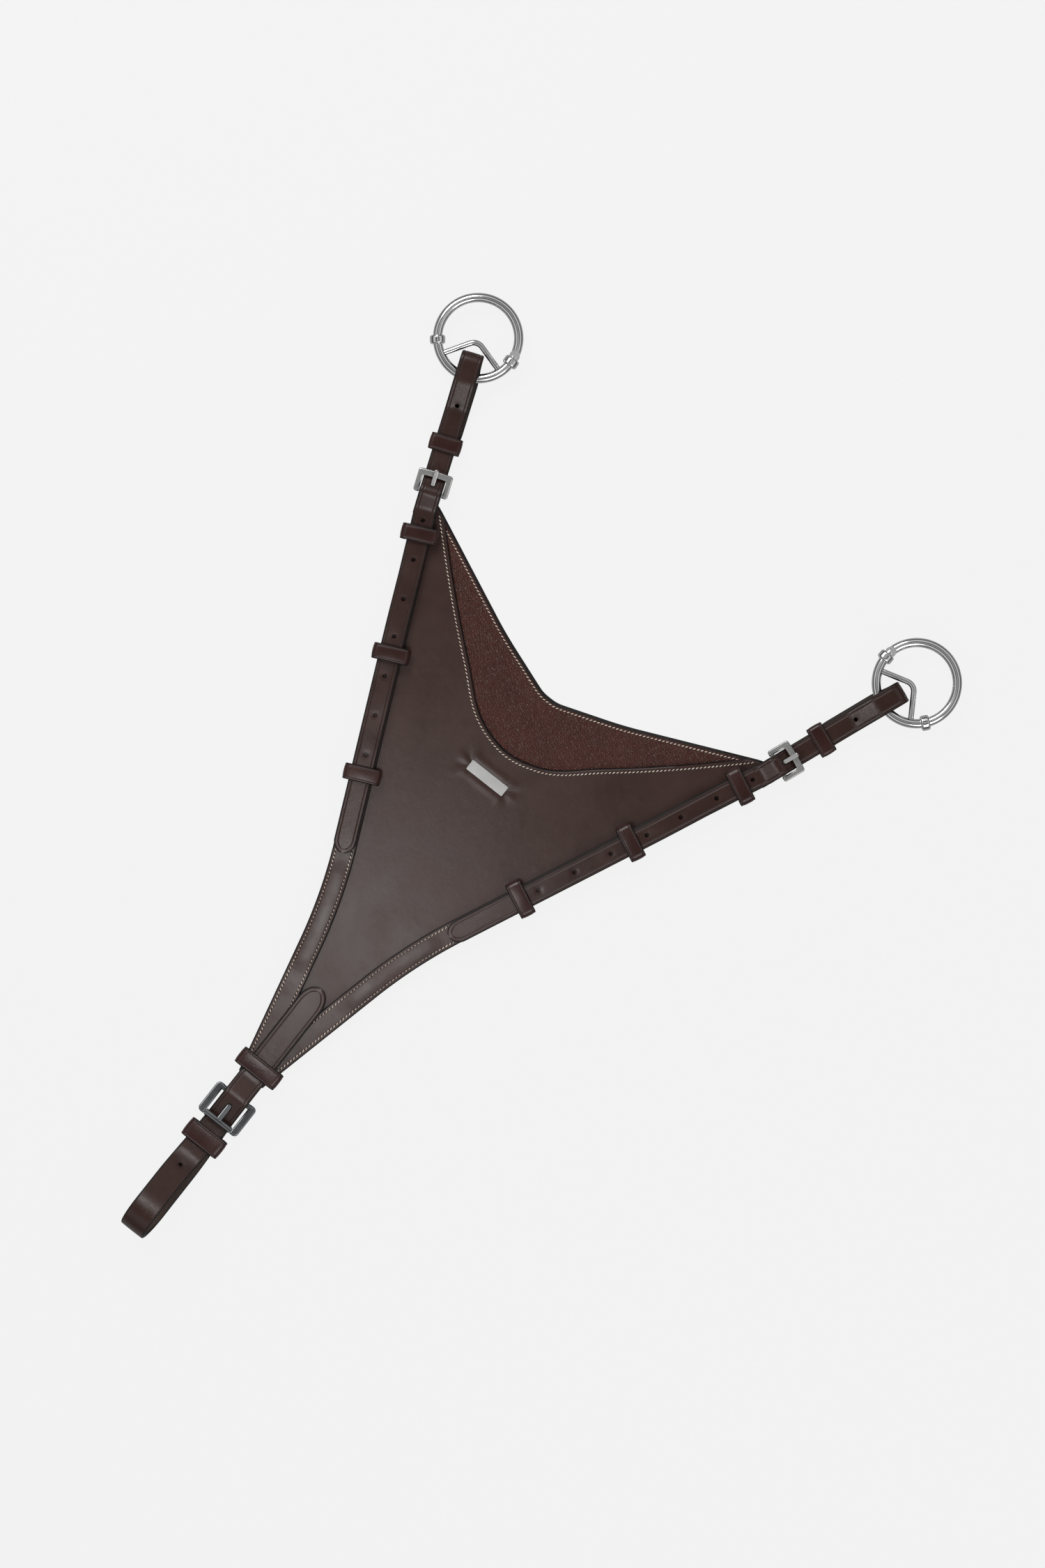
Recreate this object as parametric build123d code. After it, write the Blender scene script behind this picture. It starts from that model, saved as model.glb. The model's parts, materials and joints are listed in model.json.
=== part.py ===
from build123d import *
import math
import os

# Bib martingale attachment for a breastplate, lying on its back, millimetres.
# +Y runs along the centre line from the chest loop to the two rein rings,
# +X is to the right and +Z is out of the front face. The back of the lining is z = 0.
# Everything is drawn for the right side and mirrored, because the two arms are alike.

# ---- overall layout -------------------------------------------------------------------
CORNER = (124.7, 156.8)        # centre of the arm strap where it leaves the bib
BIB_LEAN = 24.7                # lean of the bib's side from +Y, degrees
ARM_LEAN = 21.0                # lean of the free arm from +Y, degrees
APEX_LEAN = 13.2               # lean of the bib's side near the apex, degrees
APEX_SIDE = (12.3, -150.0)     # a point of the bib's side near the apex
APEX_END = -164.5              # where the bib ends and the chest strap goes on
SIDE_BLEND = 300.0             # radius that joins the two leans of the side

# ---- leather thicknesses and levels ---------------------------------------------------
LINING = 1.6
PANEL = 2.2
STRIP = 2.2
PANEL_TOP = LINING + PANEL
STRIP_TOP = PANEL_TOP + STRIP
LAY = 0.05                     # hair of air between two layers that only lie together

# ---- arm straps -----------------------------------------------------------------------
STRIP_WIDE = 13.5
ARM_WIDE = 13.0
ARM_THICK = 2.3
BILLET_MID = STRIP_TOP + LAY + ARM_THICK / 2
TIP_NOSE = 7.0                 # length of the billet's rounded nose
TIP_S = -207.0                 # rounded tip, measured along the strap from CORNER
TIP_LEAN = 20.0
TIP_BEND_S = -165.0
BACK_MID = LINING + PANEL / 2
FRONT_MID = BACK_MID + ARM_THICK + 0.15
FLEX_FROM = 20.5               # free leather between the buckle and the running keeper
FLEX_TO = 28.5
SEWN_FROM = -8.0               # the strap's sewn end reaches this far into the bib
SEWN_START = 0.6               # and is narrowed from here on
SEWN_WIDE = 9.0
HOLE_PITCH = 23.0
HOLE_TOP_S = 58.5              # highest punched hole
HOLE_COUNT = 10
HOLE_R = 1.25

# ---- keepers --------------------------------------------------------------------------
FIXED_KEEPER_S = (-18.5, -89.1, -160.2)
FIXED_KEEPER = (21.5, 9.3)     # across the strap, along the strap
FIXED_KEEPER_THICK = 1.7
KEEPER_CORNER = 1.6
KEEPER_LEAF = 0.8              # skived leaf that runs below the strip
KEEPER_EASE = 0.12             # air between a sliding keeper and the straps it holds
RUN_KEEPER_S = 35.4
RUN_KEEPER = (18.5, 9.6)
RUN_KEEPER_THICK = 1.3
WIDE_KEEPER_Y = -158.0
WIDE_KEEPER = (28.0, 10.5)
CHEST_KEEPER_Y = -209.0
CHEST_KEEPER = (25.0, 11.5)
CHEST_KEEPER_THICK = 1.4

# ---- arm buckles ----------------------------------------------------------------------
HINGE_S = 6.5
HINGE_Z = 6.85
HINGE_R = 1.2
FRONT_S = 16.9                 # middle of the front bar, under which the strap runs
FRONT_Z = 9.3
BAR_WIDE = 3.8                 # the frame is a flat bar, wider at the front
BAR_THICK = 2.3
LEG_WIDE = 3.2
FRAME_BACK = 1.6               # the legs end this far behind the hinge bar
FRONT_BOW = 0.6                # how far the middle of the front bar bulges out
BUCKLE_WIDE = 20.4
CHAPE_R = 2.9
CHAPE_WIDE = 12.6
CHAPE_SLOT = 3.4               # slot in the chape for the prong's eye
PRONG = (2.6, 1.9)             # wide, thick
PRONG_END_S = 19.6
PRONG_AIR = 1.45               # the tilted prong's end stands this far over the front bar
PRONG_EYE_R = 2.3
EYE_EXTRA = 0.3                # how much wider than its bar a prong's eye is
PRONG_HOLE_R = 1.8             # hole that the prong takes in the leather
RUN_FIT = 0.05                 # radial clearance of every eye, roller and pin

# ---- rein rings -----------------------------------------------------------------------
RING_S = 99.0
RING_R = 23.3
WIRE_R = 2.65
FOLD_HALF = 4.85               # half the height of the strap's fold round the wire
RING_Z = BACK_MID + FOLD_HALF
FOLD_END = 89.0                # centre line of the strap at the fold, along the arm
BRIDGE_FOOT = 50.0             # angles are measured at the ring's centre from the strap
BRIDGE_R = 1.65
BRIDGE_APEX_S = 97.5
BRIDGE_BEND = 6.0
KNOB_AT = 71.0
KNOB_R = 4.4
KNOB_LONG = 5.2
GATE_PIN_AT = 81.0
GATE_TIP_AT = 145.0
GATE_SLANT = 38.0
GATE_GAP = 0.15                # air at the gate's tip
SPRING_AT = KNOB_AT + 0.3
SPRING_R = 0.6
SPRING_WIRE_R = 0.17
SPRING_LONG = 3.4
SPRING_BORE = (0.95, 4.0)      # radius and length of the blind bore that holds the spring
PIN_R = 0.8
PIN_LONG = 2 * WIRE_R - 0.8
EAR_R = 3.0                    # ears of the fork that holds the gate
TONGUE_EYE_R = 2.1
TONGUE_THICK = 2.0

# ---- chest strap ----------------------------------------------------------------------
CHEST_WIDE = 16.0
CHEST_THICK = 2.5
CHEST_TIP_Y = -100.0
CHEST_NOSE = 11.0              # length of the rounded nose of the chest strap's tip
CHEST_BACK_MID = LINING + CHEST_THICK / 2
CHEST_FRONT_MID = CHEST_BACK_MID + CHEST_THICK + 0.15
CHEST_FLEX_TO = -173.5
CHEST_SEWN_TO = -150.0
CHEST_SEWN_WIDE = 12.0
CHEST_HINGE_Y = -179.0
CHEST_HINGE_Z = 7.6
CHEST_HINGE_R = 1.6
CHEST_CHAPE_R = 3.35
ROLLER_Y = -196.0
ROLLER_Z = 10.2
ROLLER_BAR_R = 1.15
ROLLER_R = 1.9
ROLLER_LONG = 18.2
CHEST_BUCKLE_WIDE = 28.0
CHEEK_THICK = 3.0
CHEEK_PAST = 1.7               # the cheeks end this far past both bars
CHEST_INNER_WIDE = 18.8
CHEST_CHAPE_SLOT = 3.6
CHEST_PRONG = (3.0, 2.1)       # wide, thick
CHEST_PRONG_LONG = 16.9
CHEST_EYE_R = 2.75
CHEST_PRONG_HOLE_R = 1.95
LOOP_END_Y = -275.5
LOOP_R = 12.25                 # centre line radius of the open strap loop
CHEST_HOLE_Y = -229.3

# ---- plate ----------------------------------------------------------------------------
PLATE = (26.0, 6.8, 0.8)
PLATE_Y = 54.0
PLATE_PIN_R = 0.6
PLATE_PIN_X = 9.0


def heading(lean):
    """Unit vector that leans from +Y towards +X."""
    return math.sin(math.radians(lean)), math.cos(math.radians(lean))


def along(point, lean, distance, side=0.0):
    """Point at a distance along a leaning line, and a step to its outer side."""
    dx, dy = heading(lean)
    return point[0] + dx * distance + dy * side, point[1] + dy * distance - dx * side


def crossing(p, lean_p, q, lean_q):
    """Where the leaning line through p meets the one through q."""
    ax, ay = heading(lean_p)
    bx, by = heading(lean_q)
    run = ((q[0] - p[0]) * by - (q[1] - p[1]) * bx) / (ax * by - ay * bx)
    return p[0] + ax * run, p[1] + ay * run


def in_arm(shape, lean=ARM_LEAN):
    """Puts a shape drawn with +Y along the strap, from CORNER, in its place."""
    return Pos(CORNER[0], CORNER[1], 0) * Rot(0, 0, -lean) * shape


def slab(outline, low, high):
    """Closed flat piece of leather between two levels."""
    return extrude(Pos(0, 0, low) * outline, high - low)


def strap_band(points, radii, thick, wide):
    """Strap that bends in the upright plane along Y, as a band of even thickness."""
    path = FilletPolyline(*points, radius=radii)
    return extrude(Plane.YZ * trace(path, thick), wide / 2, both=True)


def between(shape, low_y, high_y):
    """The stretch of a shape between two stations along Y."""
    reach = 400
    return shape & Pos(0, (low_y + high_y) / 2, 0) * Box(reach, high_y - low_y, reach)


def above(level):
    """All the room over a level."""
    return Pos(0, 0, level + 100) * Box(800, 800, 200)


def across_bar(radius, length, y, z):
    """Round bar that lies across the strap."""
    return Pos(0, y, z) * Rot(0, 90, 0) * Cylinder(radius, length)


def inclined_rod(radius, start, end):
    """Round rod in the plane x = 0 from one (y, z) to another."""
    run = math.dist(start, end)
    tilt = math.degrees(math.atan2(end[1] - start[1], end[0] - start[0]))
    rod = Pos(0, run / 2, 0) * Rot(90, 0, 0) * Cylinder(radius, run)
    return Pos(0, start[0], start[1]) * Rot(tilt, 0, 0) * rod


def inclined_bar(size, start, end):
    """Flat bar in the plane x = 0 from one (y, z) to another, with soft edges and a round end."""
    wide, thick = size
    run = math.dist(start, end)
    tilt = math.degrees(math.atan2(end[1] - start[1], end[0] - start[0]))
    outline = Pos(0, run / 2) * Rectangle(wide, run)
    outline = fillet(outline.vertices().group_by(Axis.Y)[-1], 0.42 * wide)
    bar = extrude(outline, thick / 2, both=True)
    bar = fillet(bar.edges().group_by(Axis.Z)[-1] + bar.edges().group_by(Axis.Z)[0], 0.28 * thick)
    return Pos(0, start[0], start[1]) * Rot(tilt, 0, 0) * bar


# ---- bib ------------------------------------------------------------------------------
def side_line(inset):
    """Side of the bib from the corner to the apex, set in by a distance."""
    top = along(CORNER, BIB_LEAN, 0, STRIP_WIDE / 2 - inset)
    low = along(APEX_SIDE, APEX_LEAN, 0, -inset)
    bend = crossing(top, BIB_LEAN, low, APEX_LEAN)
    end = crossing(low, APEX_LEAN, (0, APEX_END), 90)
    return top, bend, end


def bib_outline(top_edge):
    """Right half closed on the centre line, then mirrored into the whole bib."""
    top, bend, end = side_line(0)
    inner = along(CORNER, BIB_LEAN, 0, -STRIP_WIDE / 2)
    edges = [top_edge, Line(top_edge @ 1, inner), Line(inner, top)]
    edges.append(FilletPolyline(top, bend, end, radius=SIDE_BLEND))
    edges.append(Polyline(end, (0, APEX_END), top_edge @ 0))
    half = make_face(edges)
    return half + mirror(half, about=Plane.YZ)


def lining_edge():
    return FilletPolyline((0, 111.6), (4, 112.6), (43, 126.0), (115.4, 158.4), radius=(4, 260))


def panel_edge():
    return Spline((0, 73), (20, 77.5), (50, 100.5), (112.4, 157.0), tangents=((1, 0), (0.72, 0.7)))


def bib_lining():
    return slab(bib_outline(lining_edge()), 0, LINING)


def bib_panel(cuts):
    panel = slab(bib_outline(panel_edge()), LINING, PANEL_TOP)
    for cut in cuts:
        panel -= cut
    return panel


def edge_strip(leaves):
    """Strip that is sewn along the side and carries the billet."""
    top, bend, end = side_line(STRIP_WIDE / 2)
    start = along(top, BIB_LEAN, -3.6)
    low = crossing(end, APEX_LEAN, (0, APEX_END - 10), 90)
    outline = trace(FilletPolyline(start, bend, low, radius=SIDE_BLEND), STRIP_WIDE)
    own_half = Pos(200 + LAY, APEX_END + 250, 0) * Box(400, 500, 40)
    strip = slab(outline, PANEL_TOP, STRIP_TOP) & own_half
    for leaf in leaves:
        strip -= leaf
    return strip


def blank_plate():
    """Small blank plate with two pins on its back that go through the panel."""
    long, high, thick = PLATE
    face = slab(RectangleRounded(long, high, 0.6), PANEL_TOP, PANEL_TOP + thick)
    face = fillet(face.edges().group_by(Axis.Z)[-1], 0.3)
    for x in (-PLATE_PIN_X, PLATE_PIN_X):
        face += Pos(x, 0, PANEL_TOP - PANEL / 2) * Cylinder(PLATE_PIN_R, PANEL)
    return Pos(0, PLATE_Y, 0) * face


# ---- keepers --------------------------------------------------------------------------
def keeper_loop(size, thick, leaf, inner_low, inner_high, corner):
    """Closed loop of leather that goes round the straps, drawn about y = 0."""
    wide, long = size
    low, high = inner_low - leaf, inner_high + thick
    outer = Pos(0, (low + high) / 2) * RectangleRounded(wide, high - low, corner)
    gap = inner_high - inner_low
    inner = Pos(0, (inner_low + inner_high) / 2) * RectangleRounded(wide - 2 * thick, gap, corner / 2)
    return extrude(Plane.XZ * (outer - inner), long / 2, both=True)


def fixed_keeper(size, top):
    """Keeper whose thin leaf runs below the strip and whose arch reaches a given inner height."""
    low = PANEL_TOP + KEEPER_LEAF
    return keeper_loop(size, FIXED_KEEPER_THICK, KEEPER_LEAF, low, top, KEEPER_CORNER)


def keeper_leaf_gap(size):
    """Room that the strip leaves for the thin leaf of a fixed keeper."""
    wide, long = size
    return Pos(0, 0, PANEL_TOP + KEEPER_LEAF / 2) * Box(wide + 2, long + 0.1, KEEPER_LEAF + LAY)


# ---- arm strap ------------------------------------------------------------------------
def prong_line():
    """Start and end of the prong's straight bar, as (s, z)."""
    rest = FRONT_Z + BAR_THICK / 2 + PRONG[1] / 2
    return (HINGE_S + 0.5, HINGE_Z + 1.05), (PRONG_END_S, rest + PRONG_AIR)


def arm_band():
    """The whole free arm strap from the bib over the buckle, round the ring and back."""
    crest = RING_Z + FOLD_HALF
    points = [
        (SEWN_FROM, BILLET_MID), (-3.5, BILLET_MID), (6.3, 11.9), (16.2, FRONT_MID), (56, FRONT_MID),
        (72.5, crest), (FOLD_END, crest), (FOLD_END, BACK_MID), (SEWN_FROM, BACK_MID),
    ]
    fold = FOLD_HALF - 0.05
    band = strap_band(points, (8, 4.5, 8, 14, 12, fold, fold), ARM_THICK, ARM_WIDE)
    band -= inclined_rod(PRONG_HOLE_R, *prong_line()) & above(BACK_MID + ARM_THICK / 2)
    for s in (HOLE_TOP_S, HOLE_TOP_S - HOLE_PITCH):
        band -= Pos(0, s, FRONT_MID + 4) * Cylinder(HOLE_R, 10)
    return band


def billet_face():
    """Flat outline of the billet that lies on the strip, with its rounded tip."""
    upper = (0, SEWN_FROM + 2.5)
    bend = (0, TIP_BEND_S)
    turn = BIB_LEAN - TIP_LEAN
    tip = along(bend, -turn, TIP_S - TIP_BEND_S + TIP_NOSE)
    face = trace(FilletPolyline(upper, bend, tip, radius=300), ARM_WIDE)
    face += Pos(*tip) * Rot(0, 0, turn) * Ellipse(ARM_WIDE / 2, TIP_NOSE)
    for k in range(3, HOLE_COUNT):
        face -= Pos(0, HOLE_TOP_S - k * HOLE_PITCH) * Circle(HOLE_R)
    return face


def arm_billet():
    low = BILLET_MID - ARM_THICK / 2
    flat = in_arm(slab(billet_face(), low, low + ARM_THICK), BIB_LEAN)
    rise = between(arm_band(), SEWN_FROM, FLEX_FROM) & above(BACK_MID + ARM_THICK / 2 + LAY)
    return flat + in_arm(rise)


def arm_sewn_end():
    """Back run of the strap, with a narrowed end sewn between lining and panel."""
    below = Pos(0, 0, BACK_MID) * Box(60, 100, ARM_THICK + LAY)
    run = between(arm_band(), SEWN_START, FLEX_FROM) & below
    length = SEWN_START - SEWN_FROM
    tongue = Pos(0, SEWN_START - length / 2, BACK_MID) * Box(SEWN_WIDE, length, PANEL)
    return in_arm(run + tongue)


def arm_flex():
    return in_arm(between(arm_band(), FLEX_FROM, FLEX_TO))


def ring_loop():
    return in_arm(between(arm_band(), FLEX_TO, 120))


# ---- arm buckle -----------------------------------------------------------------------
def chape_body(hinge_y, hinge_z, outer_r, bar_r, tail, wide, slot):
    """Leather tongue that is folded round a buckle's hinge bar, with a slot for the prong."""
    tail_y, low, high = tail
    reach = hinge_y - tail_y
    side = math.copysign(1, reach)
    lean = math.atan2(hinge_z + outer_r - high, abs(reach))
    top = (hinge_y - side * outer_r * math.sin(lean), hinge_z + outer_r * math.cos(lean))
    bottom, middle = (hinge_y, hinge_z - outer_r), (hinge_y, hinge_z)
    wedge = Polyline((tail_y, low), bottom, middle, top, (tail_y, high), close=True)
    profile = make_face(wedge) + Pos(hinge_y, hinge_z) * Circle(outer_r)
    profile -= Pos(hinge_y, hinge_z) * Circle(bar_r + RUN_FIT)
    body = extrude(Plane.YZ * profile, wide / 2, both=True)
    slot_y = hinge_y + side * (outer_r - slot) / 2
    return body - Pos(0, slot_y, hinge_z) * Box(slot, outer_r + slot, 4 * outer_r)


def arm_chape():
    tail = (-3.1, PANEL_TOP + 0.05, STRIP_TOP - 0.05)
    return chape_body(HINGE_S, HINGE_Z, CHAPE_R, HINGE_R, tail, CHAPE_WIDE, CHAPE_SLOT)


def arm_prong():
    """Prong with an eye that turns on the hinge bar."""
    eye = across_bar(PRONG_EYE_R, PRONG[0] + EYE_EXTRA, HINGE_S, HINGE_Z)
    body = eye + inclined_bar(PRONG, *prong_line())
    return body - across_bar(HINGE_R + RUN_FIT, BUCKLE_WIDE, HINGE_S, HINGE_Z)


def arm_buckle_frame():
    """Flat frame, lifted at the front so that the strap goes under it, with a round hinge bar."""
    tilt = math.degrees(math.atan2(FRONT_Z - HINGE_Z, FRONT_S - HINGE_S))
    front = math.dist((HINGE_S, HINGE_Z), (FRONT_S, FRONT_Z)) + BAR_WIDE / 2
    bow = (BUCKLE_WIDE / 2) ** 2 / (2 * FRONT_BOW)
    outline = Pos(0, (front - FRAME_BACK) / 2) * Rectangle(BUCKLE_WIDE, front + FRAME_BACK)
    outline = outline & Pos(0, front - bow) * Circle(bow)
    outline = fillet(outline.vertices(), 1.5)
    inner = front - BAR_WIDE
    window = Pos(0, inner - 10) * Rectangle(BUCKLE_WIDE - 2 * LEG_WIDE, 20)
    window = window & Pos(0, inner - bow) * Circle(bow)
    window = fillet(window.vertices().group_by(Axis.Y)[-1], 1.0)
    frame = extrude(outline - window, BAR_THICK / 2, both=True)
    frame = fillet(frame.edges().group_by(Axis.Z)[-1] + frame.edges().group_by(Axis.Z)[0], 0.75)
    frame += Rot(0, 90, 0) * Cylinder(HINGE_R, BUCKLE_WIDE - LEG_WIDE)
    return Pos(0, HINGE_S, HINGE_Z) * Rot(tilt, 0, 0) * frame


def running_keeper():
    low = BACK_MID - ARM_THICK / 2 - KEEPER_EASE
    high = FRONT_MID + ARM_THICK / 2 + KEEPER_EASE
    loop = keeper_loop(RUN_KEEPER, RUN_KEEPER_THICK, RUN_KEEPER_THICK, low, high, KEEPER_CORNER)
    return Pos(0, RUN_KEEPER_S, 0) * loop


# ---- rein ring, drawn about its own centre with the strap towards -Y and +Z up ---------
def on_ring(angle, radius=RING_R):
    """Point of the ring at an angle from the strap, positive towards the bib's centre."""
    a = math.radians(angle)
    return -radius * math.sin(a), -radius * math.cos(a)


def wire_arc(start, end):
    """Round wire of the ring from one angle to another."""
    turn = Plane(origin=(0, 0, 0), x_dir=(*on_ring(start, 1), 0), z_dir=(0, 0, 1))
    section = turn * (Plane.XZ * Pos(RING_R, 0) * Circle(WIRE_R))
    return revolve(section, Axis.Z, start - end)


def knob(angle):
    """Round collar on the wire."""
    barrel = Cylinder(KNOB_R, KNOB_LONG)
    barrel = fillet(barrel.edges().filter_by(GeomType.CIRCLE), 1.4)
    x, y = on_ring(angle)
    return Pos(x, y, 0) * Rot(0, 0, -angle) * Rot(0, 90, 0) * barrel


def gate_split():
    """Slanted cut of the gate's tip: its inner side is longer, so it only opens inwards."""
    x, y = on_ring(GATE_TIP_AT)
    return Pos(x, y, 0) * Rot(0, 0, 90 - GATE_TIP_AT + GATE_SLANT)


def pin_axis():
    x, y = on_ring(GATE_PIN_AT)
    return Pos(x, y, 0)


def ring_body():
    """Cast ring with its inner bridge, two collars and the fork that holds the gate."""
    lip = wire_arc(GATE_TIP_AT - 14, GATE_TIP_AT + 20) - gate_split() * Pos(0, -10, 0) * Box(60, 20, 12)
    ring = wire_arc(GATE_TIP_AT + 15, 360 + GATE_PIN_AT) + lip
    foot, apex = on_ring(BRIDGE_FOOT), (0, BRIDGE_APEX_S - RING_S)
    rail = FilletPolyline(foot, apex, (-foot[0], foot[1]), radius=BRIDGE_BEND)
    ring += sweep(Plane(rail @ 0, z_dir=rail % 0) * Circle(BRIDGE_R), path=rail)
    ring += knob(KNOB_AT) + knob(-KNOB_AT)
    ring += pin_axis() * Cylinder(EAR_R, PIN_LONG)
    ring -= pin_axis() * Cylinder(EAR_R + 0.3, TONGUE_THICK + 0.3)
    return ring - pin_axis() * Cylinder(PIN_R, 10) - spring_seat() * Cylinder(*SPRING_BORE)


def gate():
    """Curved gate with a tongue that turns on the pin."""
    keep = gate_split() * Pos(0, -20 - GATE_GAP, 0) * Box(60, 40, 12)
    bar = wire_arc(GATE_PIN_AT, GATE_TIP_AT + 14) & (keep + wire_box(GATE_PIN_AT, GATE_TIP_AT - 20))
    bar -= pin_axis() * Cylinder(EAR_R + 0.3, 12)
    web = wire_arc(GATE_PIN_AT, GATE_PIN_AT + 12) & Box(80, 80, TONGUE_THICK)
    eye = pin_axis() * Cylinder(TONGUE_EYE_R, TONGUE_THICK)
    return bar + web + eye - pin_axis() * Cylinder(PIN_R + RUN_FIT, 10)


def wire_box(start, end):
    """Fat arc round the wire, to keep one stretch of it."""
    turn = Plane(origin=(0, 0, 0), x_dir=(*on_ring(start, 1), 0), z_dir=(0, 0, 1))
    return revolve(turn * (Plane.XZ * Pos(RING_R, 0) * Rectangle(8, 8)), Axis.Z, start - end)


def gate_pin():
    return pin_axis() * Cylinder(PIN_R, PIN_LONG)


def spring_seat():
    """Middle of the blind bore in the hinge collar that holds the gate's spring."""
    x, y = on_ring(SPRING_AT)
    return Pos(x, y, 0) * Rot(0, 0, -SPRING_AT) * Rot(0, 90, 0)


def gate_spring():
    """Small coil that pushes on the gate's tongue."""
    coil = Helix(pitch=0.7, height=SPRING_LONG, radius=SPRING_R)
    wire = sweep(Plane(coil @ 0, z_dir=coil % 0) * Circle(SPRING_WIRE_R), path=coil, is_frenet=True)
    return spring_seat() * Pos(0, 0, -SPRING_LONG / 2) * wire


def on_arm_ring(shape):
    return in_arm(Pos(0, RING_S, RING_Z) * shape)


# ---- chest strap ----------------------------------------------------------------------
def chest_prong_line():
    """Start and end of the chest prong's bar, as (distance past the hinge, z)."""
    rest = ROLLER_Z + ROLLER_R + CHEST_PRONG[1] / 2
    return (1.0, CHEST_HINGE_Z + 1.5), (CHEST_PRONG_LONG, rest + 0.3)


def in_chest(shape):
    """Turns a shape drawn past the hinge towards +Y to its place on the chest strap."""
    return Pos(0, CHEST_HINGE_Y, 0) * Rot(0, 0, 180) * shape


def chest_band():
    """The whole chest strap from its tip over the buckle, round the loop and back."""
    mid = STRIP_TOP + LAY + CHEST_THICK / 2
    crest = CHEST_BACK_MID + 2 * LOOP_R
    end = LOOP_END_Y + CHEST_THICK / 2
    points = [
        (CHEST_TIP_Y - CHEST_NOSE, mid), (-166, mid), (CHEST_HINGE_Y, 13.2), (-198, CHEST_FRONT_MID),
        (-224, CHEST_FRONT_MID), (-256, crest), (end, crest), (end, CHEST_BACK_MID),
        (APEX_END, CHEST_BACK_MID),
    ]
    fold = LOOP_R - 0.05
    band = strap_band(points, (12, 6, 12, 15, 18, fold, fold), CHEST_THICK, CHEST_WIDE)
    prong_way = in_chest(inclined_rod(CHEST_PRONG_HOLE_R, *chest_prong_line()))
    band -= prong_way & above(CHEST_BACK_MID + CHEST_THICK / 2)
    for y in (CHEST_HOLE_Y, CHEST_HOLE_Y + HOLE_PITCH):
        band -= Pos(0, y, CHEST_FRONT_MID + 4) * Cylinder(HOLE_R, 12)
    return band


def chest_billet_tip():
    nose_y = CHEST_TIP_Y - CHEST_NOSE
    low = STRIP_TOP + LAY
    nose = Pos(0, nose_y) * Ellipse(CHEST_WIDE / 2, CHEST_NOSE)
    tip = slab(nose & Pos(0, nose_y + 10) * Rectangle(40, 20), low, low + CHEST_THICK)
    run = between(chest_band(), APEX_END, CHEST_TIP_Y) & above(low - 0.1)
    return run + tip


def chest_sewn_end():
    """Hidden end of the chest strap, skived and sewn between lining and panel."""
    length = CHEST_SEWN_TO - APEX_END
    return Pos(0, (CHEST_SEWN_TO + APEX_END) / 2, LINING + PANEL / 2) * Box(CHEST_SEWN_WIDE, length, PANEL)


def chest_flex():
    """Free leather between the wide keeper and the buckle: strap, chape and return."""
    layers = between(chest_band(), CHEST_FLEX_TO, APEX_END)
    length = APEX_END - CHEST_FLEX_TO
    middle = Pos(0, (APEX_END + CHEST_FLEX_TO) / 2, 5.15) * Box(CHEST_WIDE - 0.4, length, 1.7)
    return layers + middle


def chest_strap():
    return between(chest_band(), -300, CHEST_FLEX_TO)


def chest_chape():
    tail = (CHEST_FLEX_TO, 4.3, 6.0)
    return chape_body(
        CHEST_HINGE_Y, CHEST_HINGE_Z, CHEST_CHAPE_R, CHEST_HINGE_R, tail, CHEST_WIDE - 0.4, CHEST_CHAPE_SLOT
    )


def chest_prong():
    eye = across_bar(CHEST_EYE_R, CHEST_PRONG[0] + EYE_EXTRA, CHEST_HINGE_Y, CHEST_HINGE_Z)
    body = eye + in_chest(inclined_bar(CHEST_PRONG, *chest_prong_line()))
    return body - across_bar(CHEST_HINGE_R + RUN_FIT, CHEST_WIDE, CHEST_HINGE_Y, CHEST_HINGE_Z)


def chest_buckle_frame():
    """Heavy frame: two flat cheeks joined by the hinge bar and the roller's bar."""
    depth = math.dist((CHEST_HINGE_Y, CHEST_HINGE_Z), (ROLLER_Y, ROLLER_Z))
    tilt = math.degrees(math.atan2(ROLLER_Z - CHEST_HINGE_Z, CHEST_HINGE_Y - ROLLER_Y))
    cheek_wide = (CHEST_BUCKLE_WIDE - CHEST_INNER_WIDE) / 2
    outline = Pos(0, -depth / 2) * RectangleRounded(CHEST_BUCKLE_WIDE, depth + 2 * CHEEK_PAST, 2.6)
    outline -= Pos(0, -depth / 2) * Rectangle(CHEST_INNER_WIDE, depth + 8)
    cheeks = extrude(outline, CHEEK_THICK / 2, both=True)
    cheeks = fillet(cheeks.edges().group_by(Axis.Z)[-1] + cheeks.edges().group_by(Axis.Z)[0], 0.9)
    bar_long = CHEST_INNER_WIDE + cheek_wide
    frame = cheeks + Rot(0, 90, 0) * Cylinder(CHEST_HINGE_R, bar_long)
    frame += Pos(0, -depth, 0) * Rot(0, 90, 0) * Cylinder(ROLLER_BAR_R, bar_long)
    return Pos(0, CHEST_HINGE_Y, CHEST_HINGE_Z) * Rot(-tilt, 0, 0) * frame


def chest_roller():
    tube = across_bar(ROLLER_R, ROLLER_LONG, ROLLER_Y, ROLLER_Z)
    return tube - across_bar(ROLLER_BAR_R + RUN_FIT, ROLLER_LONG + 1, ROLLER_Y, ROLLER_Z)


def chest_keeper():
    low = CHEST_BACK_MID - CHEST_THICK / 2 - KEEPER_EASE
    high = CHEST_FRONT_MID + CHEST_THICK / 2 + KEEPER_EASE
    loop = keeper_loop(CHEST_KEEPER, CHEST_KEEPER_THICK, CHEST_KEEPER_THICK, low, high, KEEPER_CORNER)
    return Pos(0, CHEST_KEEPER_Y, 0) * loop


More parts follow.
